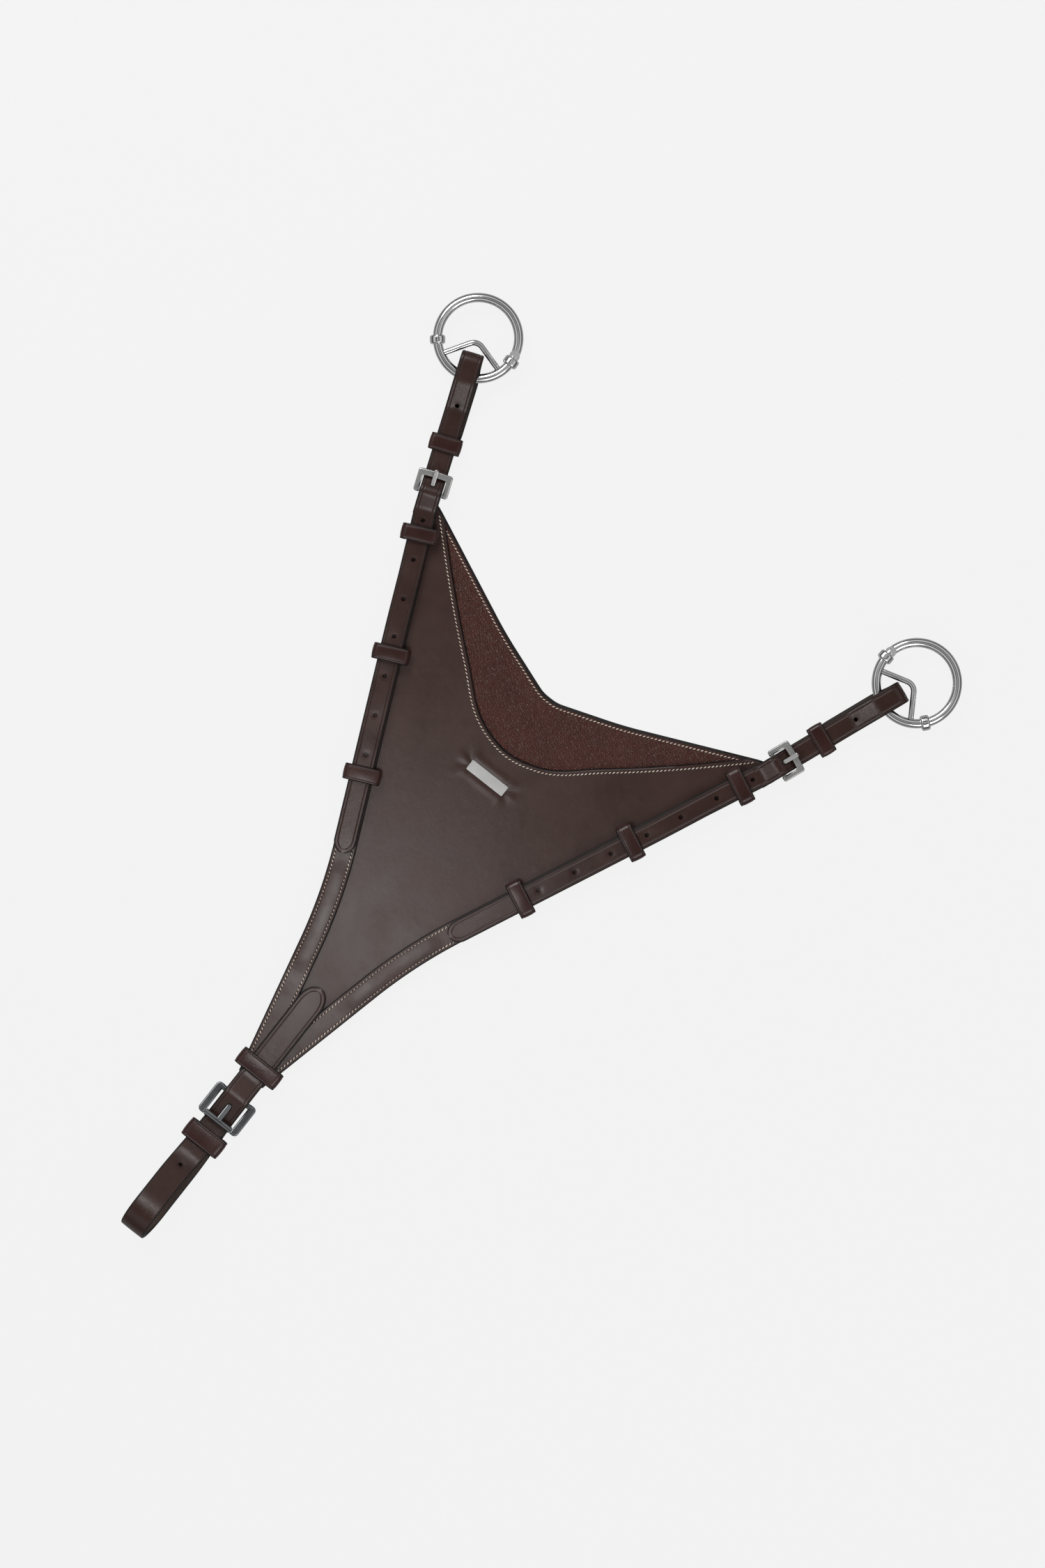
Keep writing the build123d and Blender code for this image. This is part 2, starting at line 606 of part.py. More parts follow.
def right_side_parts():
    """Every part of the right arm, by its plain name."""
    billet_top = BILLET_MID + ARM_THICK / 2 + 0.1
    keepers = {}
    leaves = []
    for name, s in zip(("upper", "middle", "lower"), FIXED_KEEPER_S):
        loop = Pos(0, s, 0) * fixed_keeper(FIXED_KEEPER, billet_top)
        keepers[name + "_fixed_keeper"] = in_arm(loop, BIB_LEAN)
        leaves.append(in_arm(Pos(0, s, 0) * keeper_leaf_gap(FIXED_KEEPER), BIB_LEAN))
    leaves.append(Pos(0, WIDE_KEEPER_Y, 0) * keeper_leaf_gap(WIDE_KEEPER))
    parts = {
        "edge_strip": edge_strip(leaves),
        "billet": arm_billet(),
        "strap_sewn_end": arm_sewn_end(),
        "strap_flex": arm_flex(),
        "ring_loop": ring_loop(),
        "chape": in_arm(arm_chape()),
        "buckle_frame": in_arm(arm_buckle_frame()),
        "buckle_prong": in_arm(arm_prong()),
        "running_keeper": in_arm(running_keeper()),
        "ring_body": on_arm_ring(ring_body()),
        "ring_gate": on_arm_ring(gate()),
        "gate_pin": on_arm_ring(gate_pin()),
        "gate_spring": on_arm_ring(gate_spring()),
    }
    parts.update(keepers)
    return parts


def centre_parts(sewn_ends):
    """Every part on the centre line."""
    chest_top = STRIP_TOP + LAY + CHEST_THICK + 0.1
    plate = blank_plate()
    return {
        "bib_lining": bib_lining(),
        "bib_panel": bib_panel([*sewn_ends, chest_sewn_end(), plate]),
        "blank_plate": plate,
        "wide_keeper": Pos(0, WIDE_KEEPER_Y, 0) * fixed_keeper(WIDE_KEEPER, chest_top),
        "chest_billet_tip": chest_billet_tip(),
        "chest_sewn_end": chest_sewn_end(),
        "chest_flex": chest_flex(),
        "chest_strap": chest_strap(),
        "chest_chape": chest_chape(),
        "chest_buckle_frame": chest_buckle_frame(),
        "chest_buckle_prong": chest_prong(),
        "chest_roller": chest_roller(),
        "chest_keeper": chest_keeper(),
    }


def main():
    os.makedirs("parts", exist_ok=True)
    right = right_side_parts()
    left = {name: mirror(shape, about=Plane.YZ) for name, shape in right.items()}
    parts = centre_parts([right["strap_sewn_end"], left["strap_sewn_end"]])
    parts.update({"right_" + name: shape for name, shape in right.items()})
    parts.update({"left_" + name: shape for name, shape in left.items()})
    for name, shape in parts.items():
        export_step(shape, f"parts/{name}.step")


main()
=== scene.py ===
import json
import math

import bmesh
import bpy
import numpy as np
from mathutils import Matrix, Vector

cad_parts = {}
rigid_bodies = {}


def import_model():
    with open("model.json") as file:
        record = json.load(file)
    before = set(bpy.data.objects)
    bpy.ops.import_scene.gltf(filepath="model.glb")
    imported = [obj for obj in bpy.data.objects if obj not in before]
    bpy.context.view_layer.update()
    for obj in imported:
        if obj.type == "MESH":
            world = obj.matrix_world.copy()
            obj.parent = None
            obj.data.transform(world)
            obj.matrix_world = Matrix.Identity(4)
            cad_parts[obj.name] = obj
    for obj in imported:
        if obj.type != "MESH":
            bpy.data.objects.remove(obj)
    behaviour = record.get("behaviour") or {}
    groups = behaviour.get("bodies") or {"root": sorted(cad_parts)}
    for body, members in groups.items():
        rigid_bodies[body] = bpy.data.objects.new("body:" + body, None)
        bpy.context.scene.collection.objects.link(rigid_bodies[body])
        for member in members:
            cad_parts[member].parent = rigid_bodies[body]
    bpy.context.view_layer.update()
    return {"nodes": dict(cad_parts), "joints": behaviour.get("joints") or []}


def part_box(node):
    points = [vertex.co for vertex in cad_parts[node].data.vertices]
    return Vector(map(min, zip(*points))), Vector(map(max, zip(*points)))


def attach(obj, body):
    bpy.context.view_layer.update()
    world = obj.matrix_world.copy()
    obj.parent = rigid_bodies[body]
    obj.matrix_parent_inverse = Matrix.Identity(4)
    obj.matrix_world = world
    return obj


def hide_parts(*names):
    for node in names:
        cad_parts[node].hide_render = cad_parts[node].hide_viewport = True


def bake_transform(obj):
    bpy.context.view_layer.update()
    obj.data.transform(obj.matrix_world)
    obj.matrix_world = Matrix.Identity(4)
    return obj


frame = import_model()

# Leather bib martingale attachment. Lengths are in metres in the frame's axes:
# +Y from the chest loop to the rein rings, +X to the right, +Z out of the grain side.
MM = 0.001
SIDES = {"left": -1, "right": 1}
JOINTS = {j["name"]: j for j in frame["joints"]}

# ---- sizes shared by the leather pieces -----------------------------------------------
BIB_LEAN = math.radians(24.7)
APEX_LEAN = math.radians(13.2)
ARM_WIDE, ARM_THICK = 13.0 * MM, 2.3 * MM
STRIP_WIDE = 13.5 * MM
CHEST_WIDE, CHEST_THICK = 16.0 * MM, 2.5 * MM
SIDE_BLEND = 300 * MM
HOLE_PITCH = 23.0 * MM
STITCH_PITCH = 2.27 * MM
THREAD_R = 0.35 * MM
CREASE_IN = 2.2 * MM
FLEX_HINGE_S = 24.5 * MM       # the arm's flex axis, measured along the strap from the bib's corner
FLEX_HALF = 4.0 * MM


# =======================================================================================
# small geometry helpers
# =======================================================================================
def leaning(angle):
    """Unit vector in the plane that leans from +Y towards +X."""
    return np.array([math.sin(angle), math.cos(angle)])


def outer_side(angle):
    """Unit vector at a right angle to a leaning line, on its outer (+X) side."""
    return np.array([math.cos(angle), -math.sin(angle)])


def crossing(p, d, q, e):
    """Where the line p + t d meets the line q + t e."""
    t = np.linalg.solve(np.array([d, -np.asarray(e)]).T, np.asarray(q) - np.asarray(p))[0]
    return np.asarray(p) + t * np.asarray(d)


def rounded_path(points, radii, step):
    """Points along a chain of straight runs whose corners are arcs of the given radii."""
    points = [np.asarray(p, float) for p in points]
    out = [points[0]]
    for before, corner, after, radius in zip(points, points[1:], points[2:], radii):
        a = (before - corner) / np.linalg.norm(before - corner)
        b = (after - corner) / np.linalg.norm(after - corner)
        half = math.acos(max(-1.0, min(1.0, float(a @ b)))) / 2
        reach = radius / math.tan(half)
        centre = corner + (a + b) / np.linalg.norm(a + b) * radius / math.sin(half)
        first, last = corner + a * reach - centre, corner + b * reach - centre
        sweep = math.pi - 2 * half
        count = max(4, int(math.ceil(sweep * radius / step)), int(math.ceil(sweep / 0.16)))
        for k in range(count + 1):
            f = k / count
            share, rest = math.sin((1 - f) * sweep) / math.sin(sweep), math.sin(f * sweep) / math.sin(sweep)
            out.append(centre + (first * share + last * rest))
    out.append(points[-1])
    return refine(np.array(out), step)


def refine(path, step):
    """Adds points to the long runs of a path, so that no run is longer than step."""
    out = [path[0]]
    for a, b in zip(path, path[1:]):
        count = max(1, int(math.ceil(np.linalg.norm(b - a) / step)))
        out.extend(a + (b - a) * (k / count) for k in range(1, count + 1))
    return np.array(out)


def lengths(path):
    """Distance run at each point of a path."""
    return np.concatenate([[0], np.cumsum(np.linalg.norm(np.diff(path, axis=0), axis=1))])


def even(path, count=None, step=None):
    """The same path with evenly spaced points."""
    run = lengths(path)
    count = count or max(2, int(round(run[-1] / step)) + 1)
    at = np.linspace(0, run[-1], count)
    return np.stack([np.interp(at, run, path[:, k]) for k in range(path.shape[1])], axis=1)


def smooth_step(x):
    x = np.clip(x, 0, 1)
    return x * x * (3 - 2 * x)


def soft_noise(x, y, scale, seed=0.0):
    """Slow smooth unevenness between about -1 and 1, made of a few crossed waves."""
    x, y = np.asarray(x) / scale + seed, np.asarray(y) / scale - 0.7 * seed
    waves = np.sin(1.3 * x + 0.7 * y) + np.sin(-0.9 * x + 1.7 * y + 1.3)
    return (waves + np.sin(2.3 * x + 0.4 * y + 2.1)) / 3


def new_object(name, verts, faces, materials, face_slots=None, smooth=True):
    mesh = bpy.data.meshes.new(name)
    mesh.from_pydata([tuple(v) for v in verts], [], [tuple(f) for f in faces])
    for material in materials:
        mesh.materials.append(material)
    if face_slots is not None:
        mesh.polygons.foreach_set("material_index", np.asarray(face_slots, np.int32))
    if smooth:
        mesh.polygons.foreach_set("use_smooth", np.ones(len(mesh.polygons), bool))
    mesh.update()
    obj = bpy.data.objects.new(name, mesh)
    bpy.context.scene.collection.objects.link(obj)
    return obj


def finished(obj):
    """Applies every modifier of a piece and gives it back as a plain mesh."""
    bpy.context.view_layer.update()
    graph = bpy.context.evaluated_depsgraph_get()
    mesh = bpy.data.meshes.new_from_object(obj.evaluated_get(graph), depsgraph=graph)
    obj.modifiers.clear()
    obj.data = mesh
    return obj


# =======================================================================================
# materials
# =======================================================================================
class Nodes:
    """Short way to put a node tree together."""

    def __init__(self, name):
        self.material = bpy.data.materials.new(name)
        self.material.use_nodes = True
        self.tree = self.material.node_tree
        self.tree.nodes.clear()
        self.out = self.add("ShaderNodeOutputMaterial")
        self.shader = self.add("ShaderNodeBsdfPrincipled")
        self.tree.links.new(self.shader.outputs[0], self.out.inputs["Surface"])
        self.coords = self.add("ShaderNodeTexCoord")

    def add(self, kind, **settings):
        node = self.tree.nodes.new(kind)
        for key, value in settings.items():
            setattr(node, key, value)
        return node

    def link(self, a, b):
        self.tree.links.new(a, b)

    def mapped(self, source, scale=(1, 1, 1), turn=(0, 0, 0)):
        mapping = self.add("ShaderNodeMapping")
        mapping.inputs["Scale"].default_value = scale
        mapping.inputs["Rotation"].default_value = turn
        self.link(self.coords.outputs[source], mapping.inputs["Vector"])
        return mapping.outputs["Vector"]

    def noise(self, vector, scale, detail=4.0, roughness=0.55, distortion=0.0):
        node = self.add("ShaderNodeTexNoise")
        node.inputs["Scale"].default_value = scale
        node.inputs["Detail"].default_value = detail
        node.inputs["Roughness"].default_value = roughness
        node.inputs["Distortion"].default_value = distortion
        self.link(vector, node.inputs["Vector"])
        return node.outputs["Fac"]

    def cells(self, vector, scale, feature="DISTANCE_TO_EDGE"):
        node = self.add("ShaderNodeTexVoronoi", feature=feature)
        node.inputs["Scale"].default_value = scale
        self.link(vector, node.inputs["Vector"])
        return node.outputs["Distance"]

    def ramp(self, value, stops):
        node = self.add("ShaderNodeValToRGB")
        elements = node.color_ramp.elements
        while len(elements) < len(stops):
            elements.new(0.5)
        for element, (place, colour) in zip(elements, stops):
            element.position = place
            colour = colour if hasattr(colour, "__len__") else (colour,) * 3
            element.color = (*colour, 1)
        self.link(value, node.inputs["Fac"])
        return node.outputs["Color"]

    def maths(self, kind, a, b=None, c=None):
        node = self.add("ShaderNodeMath", operation=kind)
        for socket, value in zip(node.inputs, (a, b, c)):
            if value is None:
                continue
            if isinstance(value, (int, float)):
                socket.default_value = value
            else:
                self.link(value, socket)
        return node.outputs[0]

    def mix(self, factor, a, b, blend="MIX"):
        node = self.add("ShaderNodeMix", data_type="RGBA", blend_type=blend)
        for index, value in ((0, factor), (6, a), (7, b)):
            socket = node.inputs[index]
            if isinstance(value, (int, float)):
                socket.default_value = value
            elif isinstance(value, tuple):
                socket.default_value = (*value, 1)
            else:
                self.link(value, socket)
        return node.outputs[2]

    def bump(self, height, strength, distance, normal=None):
        node = self.add("ShaderNodeBump")
        node.inputs["Strength"].default_value = strength
        node.inputs["Distance"].default_value = distance
        self.link(height, node.inputs["Height"])
        if normal is not None:
            self.link(normal, node.inputs["Normal"])
        return node.outputs["Normal"]

    def set(self, **values):
        names = {
            "colour": "Base Color", "roughness": "Roughness", "metallic": "Metallic", "normal": "Normal",
            "specular": "Specular IOR Level", "coat": "Coat Weight", "coat_roughness": "Coat Roughness",
            "anisotropic": "Anisotropic", "sheen": "Sheen Weight",
        }
        for key, value in values.items():
            socket = self.shader.inputs[names[key]]
            if isinstance(value, (int, float)):
                socket.default_value = value
            elif isinstance(value, tuple):
                socket.default_value = (*value, 1)
            else:
                self.link(value, socket)
        return self.material


def smooth_leather(name, dark, light, rough, wrinkle=0.5, grain=0.35, along_strap=True):
    """Waxed bridle leather: fine pores, faint creases across the strap, soft patches of polish, and painted
    shade darkening the pressed creases.
    """
    m = Nodes(name)
    place = m.mapped("Object")
    patches = m.noise(place, 38, 5, 0.6)
    pores = m.noise(place, 2600, 3, 0.6)
    colour = m.mix(m.ramp(patches, [(0.35, 0.0), (0.7, 1.0)]), dark, light)
    colour = m.mix(0.35, colour, m.ramp(pores, [(0.3, 0.45), (0.7, 1.0)]), "MULTIPLY")
    source = "UV" if along_strap else "Object"
    stretch = (1100, 160, 1) if along_strap else (420, 900, 600)
    lines = m.noise(m.mapped(source, stretch), 1.0, 4, 0.62, 0.6)
    lines = m.ramp(lines, [(0.42, 1.0), (0.5, 0.25), (0.56, 1.0)])
    lines_at = m.ramp(m.noise(place, 75, 2), [(0.40, 0.0), (0.85, 1.0)])
    wrinkles = m.mix(lines_at, (1.0, 1.0, 1.0), lines)
    normal = m.bump(wrinkles, wrinkle, 0.00022)
    normal = m.bump(m.noise(place, 1500, 4, 0.65), grain, 0.00010, normal)
    normal = m.bump(m.noise(place, 170, 3, 0.5), 0.30, 0.00035, normal)
    # The crease attribute holds how deeply each groove is pressed; it darkens the colour there as painted
    # shade and roughens it.
    crease = m.add("ShaderNodeAttribute", attribute_name="crease").outputs["Fac"]
    colour = m.mix(m.maths("MULTIPLY", crease, 0.6), colour, (0.0022, 0.0012, 0.0010))
    roughness = m.maths("MULTIPLY_ADD", patches, 0.16, rough - 0.08)
    roughness = m.maths("MULTIPLY_ADD", pores, 0.10, m.maths("ADD", roughness, -0.05))
    roughness = m.maths("MULTIPLY_ADD", crease, 0.25, roughness)
    return m.set(colour=colour, roughness=roughness, normal=normal, specular=0.36)


def pebble_leather():
    """Softer reddish lining leather with a rounded pebble grain."""
    m = Nodes("lining_leather")
    place = m.mapped("Object")
    warp = m.noise(place, 240, 2, 0.5)
    shifted = m.add("ShaderNodeVectorMath", operation="MULTIPLY_ADD")
    m.link(warp, shifted.inputs[0])
    shifted.inputs[1].default_value = (0.0011, 0.0011, 0.0011)
    m.link(place, shifted.inputs[2])
    pebbles = m.cells(shifted.outputs[0], 760)
    small = m.cells(place, 1900)
    crown = m.ramp(pebbles, [(0.0, 0.0), (0.22, 0.55), (0.50, 1.0)])
    patches = m.noise(place, 45, 4, 0.6)
    base = m.mix(m.ramp(patches, [(0.3, 0.0), (0.75, 1.0)]), (0.052, 0.0140, 0.0092), (0.074, 0.0205, 0.0135))
    # Darkening the colour in the gaps between the pebbles is painted shade.
    colour = m.mix(0.75, base, m.ramp(pebbles, [(0.0, 0.25), (0.20, 0.90), (0.4, 1.0)]), "MULTIPLY")
    normal = m.bump(crown, 1.0, 0.00036)
    normal = m.bump(small, 0.30, 0.00014, normal)
    normal = m.bump(m.noise(place, 120, 3), 0.30, 0.0006, normal)
    roughness = m.maths("MULTIPLY_ADD", patches, 0.14, 0.34)
    return m.set(colour=colour, roughness=roughness, normal=normal, specular=0.22)


def edge_paint():
    """Black painted and burnished edge of the leather."""
    m = Nodes("edge_black")
    place = m.mapped("Object")
    rough = m.noise(place, 900, 4, 0.6)
    colour = m.ramp(rough, [(0.3, (0.0035, 0.003, 0.003)), (0.75, (0.014, 0.010, 0.009))])
    normal = m.bump(rough, 0.35, 0.00012)
    roughness = m.maths("MULTIPLY_ADD", rough, 0.2, 0.42)
    return m.set(colour=colour, roughness=roughness, normal=normal, specular=0.22)


def flesh_side():
    """Flesh side of the strap leather: the same dye, matt and a little fibrous."""
    m = Nodes("flesh_side")
    place = m.mapped("Object")
    fibres = m.noise(place, 1900, 6, 0.72, 1.2)
    blotches = m.noise(place, 130, 4, 0.6)
    colour = m.mix(m.ramp(blotches, [(0.3, 0.0), (0.7, 1.0)]), (0.026, 0.013, 0.009), (0.046, 0.023, 0.015))
    normal = m.bump(fibres, 0.6, 0.00022)
    return m.set(colour=colour, roughness=m.maths("MULTIPLY_ADD", fibres, 0.15, 0.68), normal=normal)


def thread():
    """Waxed cream thread with the twist of its strands."""
    m = Nodes("cream_thread")
    twist = m.add("ShaderNodeTexWave", wave_type="BANDS", bands_direction="DIAGONAL")
    twist.inputs["Scale"].default_value = 900
    twist.inputs["Distortion"].default_value = 0.6
    m.link(m.mapped("Object"), twist.inputs["Vector"])
    dirt = m.noise(m.mapped("Object"), 150, 4, 0.6)
    base = m.mix(m.ramp(dirt, [(0.35, 0.0), (0.75, 1.0)]), (0.62, 0.50, 0.41), (0.84, 0.75, 0.66))
    colour = m.mix(0.45, base, m.ramp(twist.outputs["Fac"], [(0.1, 0.45), (0.6, 1.0)]), "MULTIPLY")
    normal = m.bump(twist.outputs["Fac"], 0.5, 0.00010)
    return m.set(colour=colour, roughness=0.62, normal=normal)


def metal(name, tint, rough, brushed=0.0, wear=0.08, direction=(1, 1, 1)):
    """Solid metal with a fine finish, faint scratches and slightly uneven polish."""
    m = Nodes(name)
    place = m.mapped("Object")
    patches = m.noise(place, 70, 4, 0.6)
    lines = m.noise(m.mapped("Object", direction), 900, 5, 0.7)
    scratches = m.noise(m.mapped("Object", (260, 2600, 900), (0.3, 0.2, 0.7)), 1.0, 2, 0.5)
    scratches = m.ramp(scratches, [(0.60, 0.0), (0.68, 1.0)])
    darker = tuple(0.82 * c for c in tint)
    colour = m.mix(m.ramp(patches, [(0.3, 0.0), (0.7, 1.0)]), darker, tint)
    roughness = m.maths("MULTIPLY_ADD", patches, wear, rough)
    roughness = m.maths("MULTIPLY_ADD", scratches, wear, roughness)
    roughness = m.maths("MULTIPLY_ADD", lines, brushed * 0.5, roughness)
    normal = m.bump(lines, 0.05 + 0.5 * brushed, 0.000012)
    return m.set(colour=colour, metallic=1.0, roughness=roughness, normal=normal)


PANEL_LEATHER = smooth_leather(
    "panel_leather", (0.0285, 0.0118, 0.0086), (0.0365, 0.0158, 0.0116), 0.38, wrinkle=0.12, along_strap=False
)
STRAP_LEATHER = smooth_leather(
    "strap_leather", (0.0250, 0.0105, 0.0080), (0.0365, 0.0160, 0.0120), 0.33, wrinkle=0.16
)
KEEPER_LEATHER = smooth_leather(
    "keeper_leather", (0.0230, 0.0076, 0.0062), (0.0340, 0.0118, 0.0094), 0.30, wrinkle=0.2
)
LINING_LEATHER = pebble_leather()
EDGE_BLACK = edge_paint()
FLESH = flesh_side()
THREAD = thread()
CHROME = metal("ring_chrome", (0.72, 0.72, 0.73), 0.09, wear=0.05)
SATIN = metal("buckle_steel", (0.56, 0.555, 0.55), 0.28, brushed=0.12, direction=(1, 6, 1))
GUNMETAL = metal("chest_buckle_steel", (0.25, 0.262, 0.268), 0.27, brushed=0.10, direction=(1, 6, 1))
PLATE_METAL = metal("plate_steel", (0.43, 0.427, 0.42), 0.32, brushed=0.25, direction=(0.12, 3.0, 1))
SPRING = metal("spring_steel", (0.45, 0.45, 0.46), 0.30)
LEATHER_SET = [STRAP_LEATHER, EDGE_BLACK, FLESH]
KEEPER_SET = [KEEPER_LEATHER, EDGE_BLACK, FLESH]


# =======================================================================================
# leather bands: every strap, strip and keeper is one band with the same kind of section
# =======================================================================================
# A column of the section is (kind, side or share of the width, offset, height in half thicknesses,
# material slot of the face after it). Offsets are in edge radii at an edge, in spreads at a crease.
TOP_FRACTIONS = (-0.84, -0.68, -0.52, -0.38, -0.25, -0.125, 0.0, 0.125, 0.25, 0.38, 0.52, 0.68, 0.84)
GROOVE_SPREAD = 0.33 * MM


def section_columns():
    """The closed outline of a band's section, from the left edge over the grain side and back."""
    columns = []
    for turn in (0, 22, 45, 68):
        a = math.radians(turn)
        columns.append(("edge", -1, 1 - math.cos(a), math.sin(a), 1))
    columns.append(("edge", -1, 1.0, 1.0, 0))
    for offset in (-1.6, -1, -0.5, 0, 0.5, 1, 1.6):
        columns.append(("crease", -1, offset, 1.0, 0))
    for share in TOP_FRACTIONS:
        columns.append(("field", share, 0, 1.0, 0))
    for offset in (-1.6, -1, -0.5, 0, 0.5, 1, 1.6):
        columns.append(("crease", 1, offset, 1.0, 0))
    columns.append(("edge", 1, -1.0, 1.0, 1))
    for turn in (68, 45, 22, 0, -30, -60):
        a = math.radians(turn)
        columns.append(("edge", 1, -(1 - math.cos(a)), math.sin(a), 1))
    columns.append(("edge", 1, -1.0, -1.0, 2))
    for share in (0.6, 0.2, -0.2, -0.6):
        columns.append(("field", share, 0, -1.0, 2))
    columns.append(("edge", -1, 1.0, -1.0, 1))
    for turn in (-60, -30):
        a = math.radians(turn)
        columns.append(("edge", -1, 1 - math.cos(a), math.sin(a), 1))
    return columns


COLUMNS = section_columns()


def close_up(path, across, places, reach=3.2 * MM, step=0.4 * MM):
    """Adds points to a path near the given distances along it, so that a hole cuts cleanly there."""
    run = lengths(path)
    at = set(np.round(run, 7))
    for place in places:
        at |= {round(float(v), 7) for v in np.arange(place - reach, place + reach, step) if 0 < v < run[-1]}
    at = np.array(sorted(at))
    at = at[np.concatenate([[True], np.diff(at) > 0.12 * MM])]
    both = [np.stack([np.interp(at, run, v[:, k]) for k in range(3)], axis=1) for v in (path, across)]
    both[1] /= np.linalg.norm(both[1], axis=1)[:, None]
    return both


def band(name, path, across, wide, thick, materials, crease_in=CREASE_IN, groove=0.22 * MM, crown=0.12 * MM,
         nose=0.0, closed=False, dimples=(), half_wide=None, edge_round=0.37, lift=None, crease_stop=None):
    """A leather band along a path. across holds the unit vector across the band at each point."""
    path, across = np.asarray(path, float), np.asarray(across, float)
    if dimples:
        path, across = close_up(path, across, [d[0] for d in dimples])
    if nose:
        path, across = close_up(path, across, [nose / 2], nose / 2 + 1 * MM, 0.3 * MM)
    count = len(path)
    if closed:
        tangent = np.roll(path, -1, axis=0) - np.roll(path, 1, axis=0)
    else:
        tangent = np.gradient(path, axis=0)
    tangent /= np.linalg.norm(tangent, axis=1)[:, None]
    up = np.cross(across, tangent)
    up /= np.linalg.norm(up, axis=1)[:, None]
    run = lengths(path)
    half = np.full(count, wide / 2) if half_wide is None else np.asarray(half_wide, float).copy()
    crease = half - crease_in
    depth = np.full(count, groove)
    if nose:
        left = 1 - np.clip(run / nose, 0, 1)
        half = half * np.sqrt(np.clip(1 - left ** 2, 0.004, 1))
        start = 1.15 * crease_in
        left = 1 - np.clip((run - start) / (nose - 0.6 * start), 0, 1)
        crease = crease * np.sqrt(np.clip(1 - left ** 2, 0.0, 1))
        depth = depth * smooth_step((run - start * 0.9) / (0.6 * MM))
    if crease_stop is not None:
        depth = depth * smooth_step((crease_stop - run) / (6 * MM))
    crease = np.minimum(crease, half * 0.9)
    radius = np.minimum(edge_round * thick, half * 0.8)
    rows, groove_shade = [], []
    for kind, side, extra, height, _ in COLUMNS:
        # Depth of the creased grooves at each point, which the leather material turns into painted shade.
        groove_shade.append(depth / max(groove, 1e-9) * (math.exp(-(extra / 0.6) ** 2) if kind == "crease" else 0))
        if kind == "edge":
            w = side * half + extra * radius
            h = np.full(count, height * thick / 2)
            if abs(height) == 1.0:
                w = side * (half - radius)
        elif kind == "crease":
            spread = np.minimum(GROOVE_SPREAD, 0.3 * crease)
            w = side * crease + extra * spread
            w = np.clip(w, -(half - radius) * 0.985, (half - radius) * 0.985)
            h = np.full(count, thick / 2) - depth * math.exp(-(extra / 0.62) ** 2)
        else:
            w = side * crease * 0.93 if height > 0 else side * half
            h = np.full(count, height * thick / 2)
        if height > 0:
            h = h + crown * height * (1 - (w / np.maximum(half, 1e-6)) ** 2)
            for at, sideways, size, deep in dimples:
                gap = np.hypot(run - at, w - sideways)
                h = h - deep * np.exp(-(gap / size) ** 2)
        if lift is not None:
            h = h + lift(run, w) * (1 if height > 0 else 0.6)
        rows.append(path + across * w[:, None] + up * h[:, None])
    rows = np.array(rows)
    columns = len(rows)
    verts = rows.transpose(1, 0, 2).reshape(-1, 3)
    faces, slots, uv = [], [], []
    widths = np.linspace(0, 2 * wide, columns + 1)
    last = count if closed else count - 1
    for i in range(last):
        j = (i + 1) % count
        u0, u1 = run[i], run[i + 1] if i + 1 < count else run[i] + np.linalg.norm(path[0] - path[-1])
        for c in range(columns):
            d = (c + 1) % columns
            faces.append((i * columns + c, j * columns + c, j * columns + d, i * columns + d))
            slots.append(COLUMNS[c][4])
            uv.append(((u0, widths[c]), (u1, widths[c]), (u1, widths[c + 1]), (u0, widths[c + 1])))
    if not closed:
        for i, flip in ((0, False), (count - 1, True)):
            ring = [i * columns + c for c in range(columns)]
            faces.append(ring[::-1] if flip else ring)
            slots.append(1)
            uv.append([(run[i], widths[c]) for c in range(columns)][:: -1 if flip else 1])
    obj = new_object(name, verts, faces, materials, slots)
    layer = obj.data.uv_layers.new(name="UVMap")
    layer.data.foreach_set("uv", np.array([p for face in uv for p in face], np.float32).ravel())
    # The groove depth is stored as the crease attribute, which darkens the grooves as painted shade.
    groove_shade_marks = obj.data.attributes.new("crease", "FLOAT", "POINT")
    groove_shade_marks.data.foreach_set("value", np.array(groove_shade, np.float32).T.ravel())
    return recalculated(obj)


def recalculated(obj):
    bm = bmesh.new()
    bm.from_mesh(obj.data)
    bmesh.ops.recalc_face_normals(bm, faces=bm.faces)
    bm.to_mesh(obj.data)
    bm.free()
    return obj


def punched(obj, holes, radius):
    """Cuts holes through a band. Each is a centre, a way through, a long way and half its added length."""
    verts, faces = [], []
    for centre, direction, turn, slot_half in holes:
        z = Vector(direction).normalized()
        x = Vector(turn) - z * Vector(turn).dot(z)
        x.normalize()
        y = z.cross(x)
        ring = []
        count = 20
        for k in range(count):
            a = 2 * math.pi * (k + 0.5) / count
            shift = slot_half if math.cos(a) > 0 else -slot_half
            ring.append(x * (radius * math.cos(a) + shift) + y * radius * math.sin(a))
        base = len(verts)
        for end in (-1, 1):
            verts.extend(Vector(centre) + p + z * end * 2.4 * MM for p in ring)
        faces.append(tuple(base + k for k in range(count))[::-1])
        faces.append(tuple(base + count + k for k in range(count)))
        for k in range(count):
            n = (k + 1) % count
            faces.append((base + k, base + n, base + count + n, base + count + k))
    cutter = new_object("punch", verts, faces, list(obj.data.materials), [1] * len(faces), smooth=False)
    recalculated(cutter)
    modifier = obj.modifiers.new("holes", "BOOLEAN")
    modifier.operation = "DIFFERENCE"
    modifier.solver = "EXACT"
    modifier.object = cutter
    finished(obj)
    bpy.data.objects.remove(cutter)
    obj.data.set_sharp_from_angle(angle=math.radians(42))
    return obj


